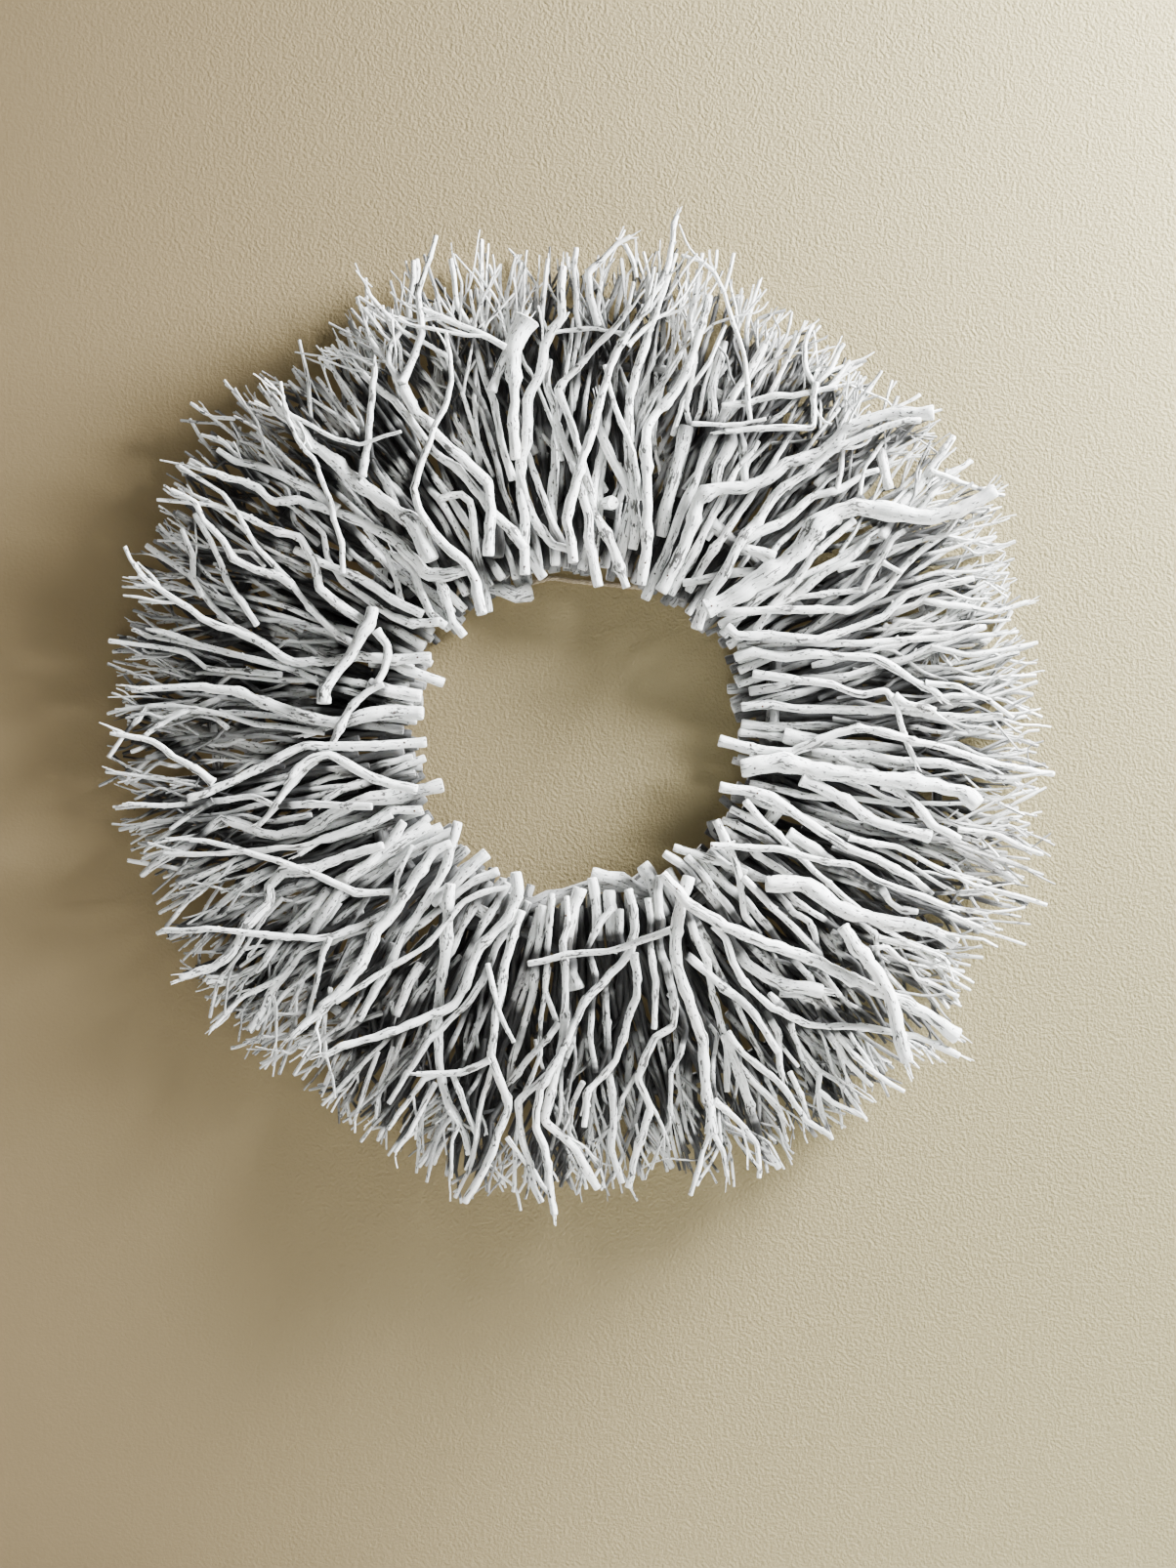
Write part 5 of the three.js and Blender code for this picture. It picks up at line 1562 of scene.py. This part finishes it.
def painted_wood(name, colours, cover):
    """Sprayed white paint on weathered wood: streaks along the grain, worn spots and cracks, and
    painted shade on the sticks deep in the wreath.
    """
    material, tree = fresh_material(name)
    grain = attribute(tree, "grain")
    keys = ("tone", "wear", "wallward", "sawn")
    tone, wear, wallward, sawn = (attribute(tree, key, 2) for key in keys)
    layers = {"tint": tree.noise(object_place(tree), Scale=TINT_SCALE, Detail=1.0)}
    for key, (across, along, scale, detail, roughness) in WOOD_NOISES.items():
        place = tree.vector("MULTIPLY", grain, (across, across, along))
        layers[key] = tree.noise(place, Scale=scale, Detail=detail, Roughness=roughness)

    wash = opaque(colours.paint)
    for key, limits, strength, stain in STAINS:
        stained = tree.step(layers[key], *limits) * strength
        wash = tree.mix(stained, wash, opaque(getattr(colours, stain)))
    bare = tree.step(layers["worn"] + wear * BARE_AT_KNOTS, BARE[0] - cover, BARE[1])
    wash = tree.mix(bare, wash, opaque(colours.bare_wood))
    wash = tree.mix(sawn * SAWN_SHARE, wash, opaque(colours.end_grain))
    # Painted shade: the paint is multiplied towards the deep colour as the painted light falls off
    # deep in the wreath.
    wash = tree.mix(tree.step(tone, *LIT_TONE), wash, opaque(colours.shadow), blend="MULTIPLY")
    streaked = tree.step(layers["streaks"], *STREAKED)
    unpainted = tree.mix(streaked, opaque(colours.back_wood), opaque(colours.back_streak))
    wash = tree.mix(tree.step(wallward, *WALLWARD), wash, unpainted)
    slit = tree.step(layers["slits"] + wear * SPLIT_AT_KNOTS, *SLIT)
    speck = tree.step(layers["specks"] + wear * SPLIT_AT_KNOTS, *SPECK)
    split = tree.math("MAXIMUM", slit, speck)
    wash = tree.mix(split * SPLIT_SHARE, wash, opaque(colours.crack))

    layers.update(bare=bare, split=split)
    relief = sum(layers[key] * depth for key, depth in WOOD_RELIEF.items())
    roughness = WOOD_ROUGHNESS + streaked * STREAK_ROUGHNESS + bare * BARE_ROUGHNESS
    finished(tree, wash, roughness, Normal=bumped(tree, relief, WOOD_BUMP))
    return material


def jute(colours):
    material, tree = fresh_material("Jute")
    grain = attribute(tree, "grain")
    yarn = tree.noise(tree.vector("MULTIPLY", grain, JUTE_YARN), Scale=1.0, Detail=4.0)
    fuzz = tree.noise(tree.vector("MULTIPLY", grain, JUTE_FUZZ), Scale=1.0, Detail=2.0)
    colour = tree.mix(tree.step(yarn, *JUTE_DARK), opaque(colours.jute_dark), opaque(colours.jute))
    bump = bumped(tree, yarn + fuzz * 0.5, JUTE_BUMP)
    finished(tree, colour, 0.85 + fuzz * 0.1, Normal=bump)
    return material


def nail_steel(colours):
    material, tree = fresh_material("Dark nail")
    rust = tree.noise(object_place(tree), Scale=NAIL_RUST_SCALE, Detail=2.0)
    colour = tree.mix(tree.step(rust, *NAIL_RUSTED), opaque(colours.nail), opaque(colours.rust))
    finished(tree, colour, 0.5 + rust * 0.3, Metallic=0.6)
    return material


def wall_paint(colours):
    """Beige wall paint with a fine roller texture and painted shade, darker and warmer away from the
    window; see-through from behind.
    """
    material, tree = fresh_material("Wall paint")
    place = object_place(tree)
    grain = tree.noise(place, Scale=WALL_GRAIN_SCALE, Detail=3.0, Roughness=0.55)
    across = tree.node("ShaderNodeSeparateXYZ", {}, {0: place})
    # Painted shade: the wall grows darker and warmer away from the window.
    shade = tree.noise(place, Scale=WALL_SHADE_SCALE, Detail=1.0) * WALL_SHADE_UNEVEN + across
    shaded = tree.step(shade, *WALL_SHADED)
    colour = tree.mix(shaded, opaque(colours.wall), opaque(colours.wall_shaded_side))
    bump = bumped(tree, grain * tree.step(across, *WALL_RELIEF), WALL_BUMP)
    sockets = {"Base Color": colour, "Roughness": 0.9, "Normal": bump}
    shader = tree.node("ShaderNodeBsdfPrincipled", {}, sockets)
    clear = tree.node("ShaderNodeBsdfTransparent")
    behind = tree.node("ShaderNodeNewGeometry", output=6)
    mixed = tree.node("ShaderNodeMixShader", {}, {0: behind, 1: shader, 2: clear})
    tree.node("ShaderNodeOutputMaterial", {}, {"Surface": mixed})
    return material


def floor_paint(colours):
    material, tree = fresh_material("Pale floor")
    cloud = tree.noise(object_place(tree), Scale=FLOOR_CLOUD_SCALE, Detail=2.0)
    shade = opaque([FLOOR_DARKER * value for value in colours.floor])
    colour = tree.mix(tree.step(cloud, *FLOOR_CLOUDED), opaque(colours.floor), shade)
    finished(tree, colour, 0.7 + cloud * 0.1)
    return material


def colour(name, description, default):
    return FloatVectorProperty(
        name=name, description=description, default=default, size=3, min=0, max=1, subtype="COLOR"
    )


def measure(name, description, default):
    return FloatProperty(name=name, description=description, default=default, unit="LENGTH")


def portion(name, description, default):
    return FloatProperty(name=name, description=description, default=default, subtype="FACTOR")


def whole(name, description, default):
    return IntProperty(name=name, description=description, default=default)


class WreathSizes(bpy.types.PropertyGroup):
    """The sizes of the wreath's twigs, knots and skin."""

    seed: whole("Seed", "Start of every random draw", 11)
    twig_length: measure("Twig length", "Usual length of a side twig", 0.058)
    twig_thickness: measure("Twig thickness", "Usual thickness of a side twig", 0.0038)
    twig_spacing: measure("Twig spacing", "Length of rim branch for each side twig", 0.056)
    knot_spacing: measure("Knot spacing", "Usual distance between knots", 0.034)
    knot_swell: portion("Knot swell", "Most that a knot thickens its stick", 0.42)
    torn_share: portion("Torn tips", "Share of the thicker tips that are torn", 0.3)
    thicket_density: FloatProperty(
        name="Thicket density", description="How many branches fill the gaps", default=1.0
    )
    thick_sides: whole("Thick sides", "Faces round a thick stick", 11)
    slim_sides: whole("Slim sides", "Faces round a slim stick", 8)
    twig_sides: whole("Twig sides", "Faces round a twig", 4)
    slim_below: measure("Slim below", "Radius under which a stick counts as slim", 0.0046)
    twig_below: measure("Twig below", "Radius under which a stick counts as a twig", 0.0019)
    lump_size: measure("Lump size", "Width of the lumps in the wood", 0.008)
    lump_depth: portion("Lump depth", "How much the lumps swell and pinch a stick", 0.42)


class WreathColours(bpy.types.PropertyGroup):
    """The colours of the wreath's paint, wood and rope, and of the wall behind it."""

    paint: colour("Paint", "Thick white paint", (0.88, 0.90, 0.893))
    thin_paint: colour("Thin paint", "Paint where the wood greys it", (0.50, 0.53, 0.515))
    streak: colour("Streak", "Grey streaks along the grain", (0.43, 0.455, 0.445))
    warm_tint: colour("Warm tint", "Faint warm cast of some branches", (0.78, 0.73, 0.69))
    bare_wood: colour("Bare wood", "Wood where the paint has worn off", (0.16, 0.105, 0.065))
    end_grain: colour("End grain", "Painted ends, sawn across", (0.52, 0.52, 0.50))
    # Painted shade: the near-black colour that multiplies the paint of sticks deep in the wreath.
    shadow: colour("Deep wood", "What multiplies the paint deep in the wreath", (0.018, 0.0185, 0.019))
    back_wood: colour("Back", "Driftwood that faces the wall, unpainted", (0.36, 0.32, 0.27))
    back_streak: colour("Back streak", "Streaks in the unpainted driftwood", (0.21, 0.17, 0.13))
    crack: colour("Crack", "Inside of a split", (0.03, 0.028, 0.025))
    jute: colour("Jute", "Light yarn of the rope", (0.42, 0.35, 0.24))
    jute_dark: colour("Dark jute", "Dark yarn of the rope", (0.20, 0.155, 0.095))
    nail: colour("Nail", "Dark nail heads", (0.05, 0.05, 0.052))
    rust: colour("Rust", "Rust on the nails", (0.12, 0.06, 0.035))
    # The wall's colour at the window's side, and its painted shade away from the window.
    wall: colour("Wall", "Wall paint at the window's side", (0.198, 0.171, 0.083))
    wall_shaded_side: colour("Wall, warmer", "Wall paint away from the window", (0.184, 0.134, 0.064))
    floor: colour("Floor", "Pale floor", (0.62, 0.62, 0.61))


def make_pieces(context, is_wanted, slot):
    """One piece for each wanted CAD node: its branches, dressed, with their twigs. The thicket
    grows in the pieces with the grey wash."""
    sizes = context.scene.wreath_sizes
    group = bpy.data.node_groups.get("Branch skin") or skin_tree(sizes)
    name, cover = WOOD_FINISHES[slot]
    finish = bpy.data.materials.get(name)
    finish = finish or painted_wood(name, context.scene.wreath_colours, cover)
    found = {}
    for branch in (*branches(), *(thicket(sizes) if slot == "grey_wash" else ())):
        found.setdefault(branch.node, []).append(branch)
    made = 0
    for number, node in enumerate(sorted(frame["nodes"])):
        if node not in found or not is_wanted(node):
            continue
        dresser = Dresser(sizes, number)
        bundle = Bundle()
        for branch in found[node]:
            dresser.add_branch(bundle, branch, rim(), twigs=not branch.plain)
        piece = with_skin(f"{node}_dressed", bundle.mesh(node, dresser.rng), group, finish)
        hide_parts(node)
        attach(piece, "root")
        made += 1
    if not made:
        raise RuntimeError("No CAD node of this kind was found")


class WREATH_OT_hoops(bpy.types.Operator):
    """Make the two hoops' sticks, with the deep branches that are nailed to the inner one"""

    bl_idname = "wreath.hoops"
    bl_label = "Hoops and deep branches"

    def execute(self, context):
        make_pieces(context, lambda node: "hoop" in node, "grey_wash")
        return {"FINISHED"}


class WREATH_OT_front_bunches(bpy.types.Operator):
    """Make the bunches of branches that lie at the front"""

    bl_idname = "wreath.front_bunches"
    bl_label = "Front bunches"

    def execute(self, context):
        make_pieces(context, lambda node: node.startswith("front"), "whitewash")
        return {"FINISHED"}


class WREATH_OT_single_branches(bpy.types.Operator):
    """Make the large branches that are pieces of their own"""

    bl_idname = "wreath.single_branches"
    bl_label = "Single branches"

    def execute(self, context):
        make_pieces(context, lambda node: node.startswith("branch"), "whitewash")
        return {"FINISHED"}


class WREATH_OT_rope(bpy.types.Operator):
    """Make the twisted rope that the wreath hangs by"""

    bl_idname = "wreath.rope"
    bl_label = "Hanging rope"

    def execute(self, context):
        line, along = rope_route()
        bundle = Bundle()
        for strand in rope_strands(line, along):
            bundle.add(strand, np.full(len(strand), ROPE_STRAND_RADIUS), 1.0, SLIM)
        group = bpy.data.node_groups["Branch skin"]
        rng = np.random.default_rng(context.scene.wreath_sizes.seed)
        finish = jute(context.scene.wreath_colours)
        rope = with_skin("hanging_rope_strands", bundle.mesh("rope", rng), group, finish)
        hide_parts("hanging_rope")
        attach(rope, "root")
        path = chart_to_metres(line)
        length = float(path_lengths(path)[-1])
        return {"FINISHED"}


class WREATH_OT_nails(bpy.types.Operator):
    """Put a nail head in each thicker branch where it crosses the inner hoop"""

    bl_idname = "wreath.nails"
    bl_label = "Nails"

    def execute(self, context):
        rng = np.random.default_rng(context.scene.wreath_sizes.seed)
        places = []
        facings = []
        for branch in branches():
            if "hoop" in branch.node:
                continue
            away = np.hypot(*(branch.points - CENTRE).T)
            ring = rng.uniform(*NAIL_RING)
            if not away[0] < ring < away[-1]:
                continue
            share = np.interp(ring, away, branch.lengths)
            place = [np.interp(share, branch.lengths, branch.points[:, k]) for k in (0, 1)]
            radius = np.interp(share, branch.lengths, branch.radii)
            if radius < NAIL_LEAST_RADIUS:
                continue
            height = np.interp(share, branch.lengths, branch.heights) + radius
            places.append([*place, height])
            facings.append((0.0, -1.0, 0.0))
        if not places:
            raise RuntimeError("No branch crosses the inner hoop")
        cloud = bpy.data.meshes.new("nails")
        cloud.vertices.add(len(places))
        cloud.vertices.foreach_set("co", chart_to_metres(places).ravel())
        layer = cloud.attributes.new("facing", "FLOAT_VECTOR", "POINT")
        layer.data.foreach_set("vector", np.ravel(facings))
        finish = nail_steel(context.scene.wreath_colours)
        nails = with_skin("nails", cloud, nail_tree(), finish)
        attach(nails, "root")
        return {"FINISHED"}


def add_plane(name, corners, finish):
    mesh = bpy.data.meshes.new(name)
    mesh.from_pydata(corners, [], [(0, 1, 2, 3)])
    mesh.materials.append(finish)
    plane = bpy.data.objects.new(name, mesh)
    bpy.context.scene.collection.objects.link(plane)
    plane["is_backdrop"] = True
    return plane


def add_light(name, place, aim, size, power, tint):
    light = bpy.data.lights.new(name, "AREA")
    light.shape = "DISK"
    light.size = size
    light.energy = power
    light.color = tint
    lamp = bpy.data.objects.new(name, light)
    lamp.location = place
    lamp.rotation_euler = (Vector(aim) - Vector(place)).to_track_quat("-Z", "Y").to_euler()
    bpy.context.scene.collection.objects.link(lamp)


def add_camera(context, middle_x, middle_z):
    """The camera, square to the wall and opposite the middle of the photograph."""
    lens = bpy.data.cameras.new("camera")
    lens.sensor_fit = "HORIZONTAL"
    lens.sensor_width = SENSOR
    lens.lens = SENSOR * CAMERA_DISTANCE / (PHOTO_WIDTH * MM)
    camera = bpy.data.objects.new("camera", lens)
    camera.location = (middle_x, -CAMERA_DISTANCE - FOCUS_HEIGHT, middle_z)
    camera.rotation_euler = (math.pi / 2, 0, 0)
    context.scene.collection.objects.link(camera)
    context.scene.camera = camera


class WREATH_OT_stage(bpy.types.Operator):
    """Make the wall, the floor, the lights and the camera"""

    bl_idname = "wreath.stage"
    bl_label = "Stage"

    def execute(self, context):
        colours = context.scene.wreath_colours
        middle_x = (PHOTO_MIDDLE[0] - HOOK[0]) * MM
        middle_z = (HOOK[1] - PHOTO_MIDDLE[1]) * MM
        left, right = middle_x - WALL_SIZE[0] / 2, middle_x + WALL_SIZE[0] / 2
        low = middle_z - FLOOR_DROP
        high = low + WALL_SIZE[1]
        foot = [(left, WALL_BEHIND, low), (right, WALL_BEHIND, low)]
        wall = [*foot, (right, WALL_BEHIND, high), (left, WALL_BEHIND, high)]
        add_plane("wall", wall, wall_paint(colours)).visible_shadow = False
        floor = [(left, -FLOOR_DEPTH, low), (right, -FLOOR_DEPTH, low), *reversed(foot)]
        add_plane("floor", floor, floor_paint(colours))
        aim = (middle_x, -AIM_HEIGHT, middle_z)
        for name, (place, size, power, tint) in LIGHTS.items():
            add_light(name, place, aim, size, power, tint)
        world = bpy.data.worlds.new("Room light")
        world.use_nodes = True
        background = world.node_tree.nodes["Background"]
        background.inputs["Color"].default_value = opaque(AIR_COLOUR)
        background.inputs["Strength"].default_value = AIR_STRENGTH
        context.scene.world = world
        add_camera(context, middle_x, middle_z)
        return {"FINISHED"}


STEPS = (
    WREATH_OT_stage,
    WREATH_OT_hoops,
    WREATH_OT_rope,
    WREATH_OT_front_bunches,
    WREATH_OT_single_branches,
    WREATH_OT_nails,
)


class WREATH_PT_sidebar(bpy.types.Panel):
    """The wreath's sizes, colours and pieces."""

    bl_idname = "WREATH_PT_sidebar"
    bl_label = "Wreath"
    bl_space_type = "VIEW_3D"
    bl_region_type = "UI"
    bl_category = "Wreath"

    def draw(self, context):
        for settings in (context.scene.wreath_sizes, context.scene.wreath_colours):
            column = self.layout.column()
            for key in settings.__annotations__:
                column.prop(settings, key)
        for step in STEPS:
            self.layout.operator(step.bl_idname)


CLASSES = (WreathSizes, WreathColours, *STEPS, WREATH_PT_sidebar)


def register():
    for item in CLASSES:
        bpy.utils.register_class(item)
    bpy.types.Scene.wreath_sizes = PointerProperty(type=WreathSizes)
    bpy.types.Scene.wreath_colours = PointerProperty(type=WreathColours)


def unregister():
    del bpy.types.Scene.wreath_colours
    del bpy.types.Scene.wreath_sizes
    for item in reversed(CLASSES):
        bpy.utils.unregister_class(item)


def main():
    register()
    for step in STEPS:
        group, name = step.bl_idname.split(".")
        getattr(getattr(bpy.ops, group), name)()
    boxes = {"cad": CAD_BOX, "visual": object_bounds()}
    lists = {key: [list(corner) for corner in box] for key, box in boxes.items()}


if __name__ == "__main__":
    main()
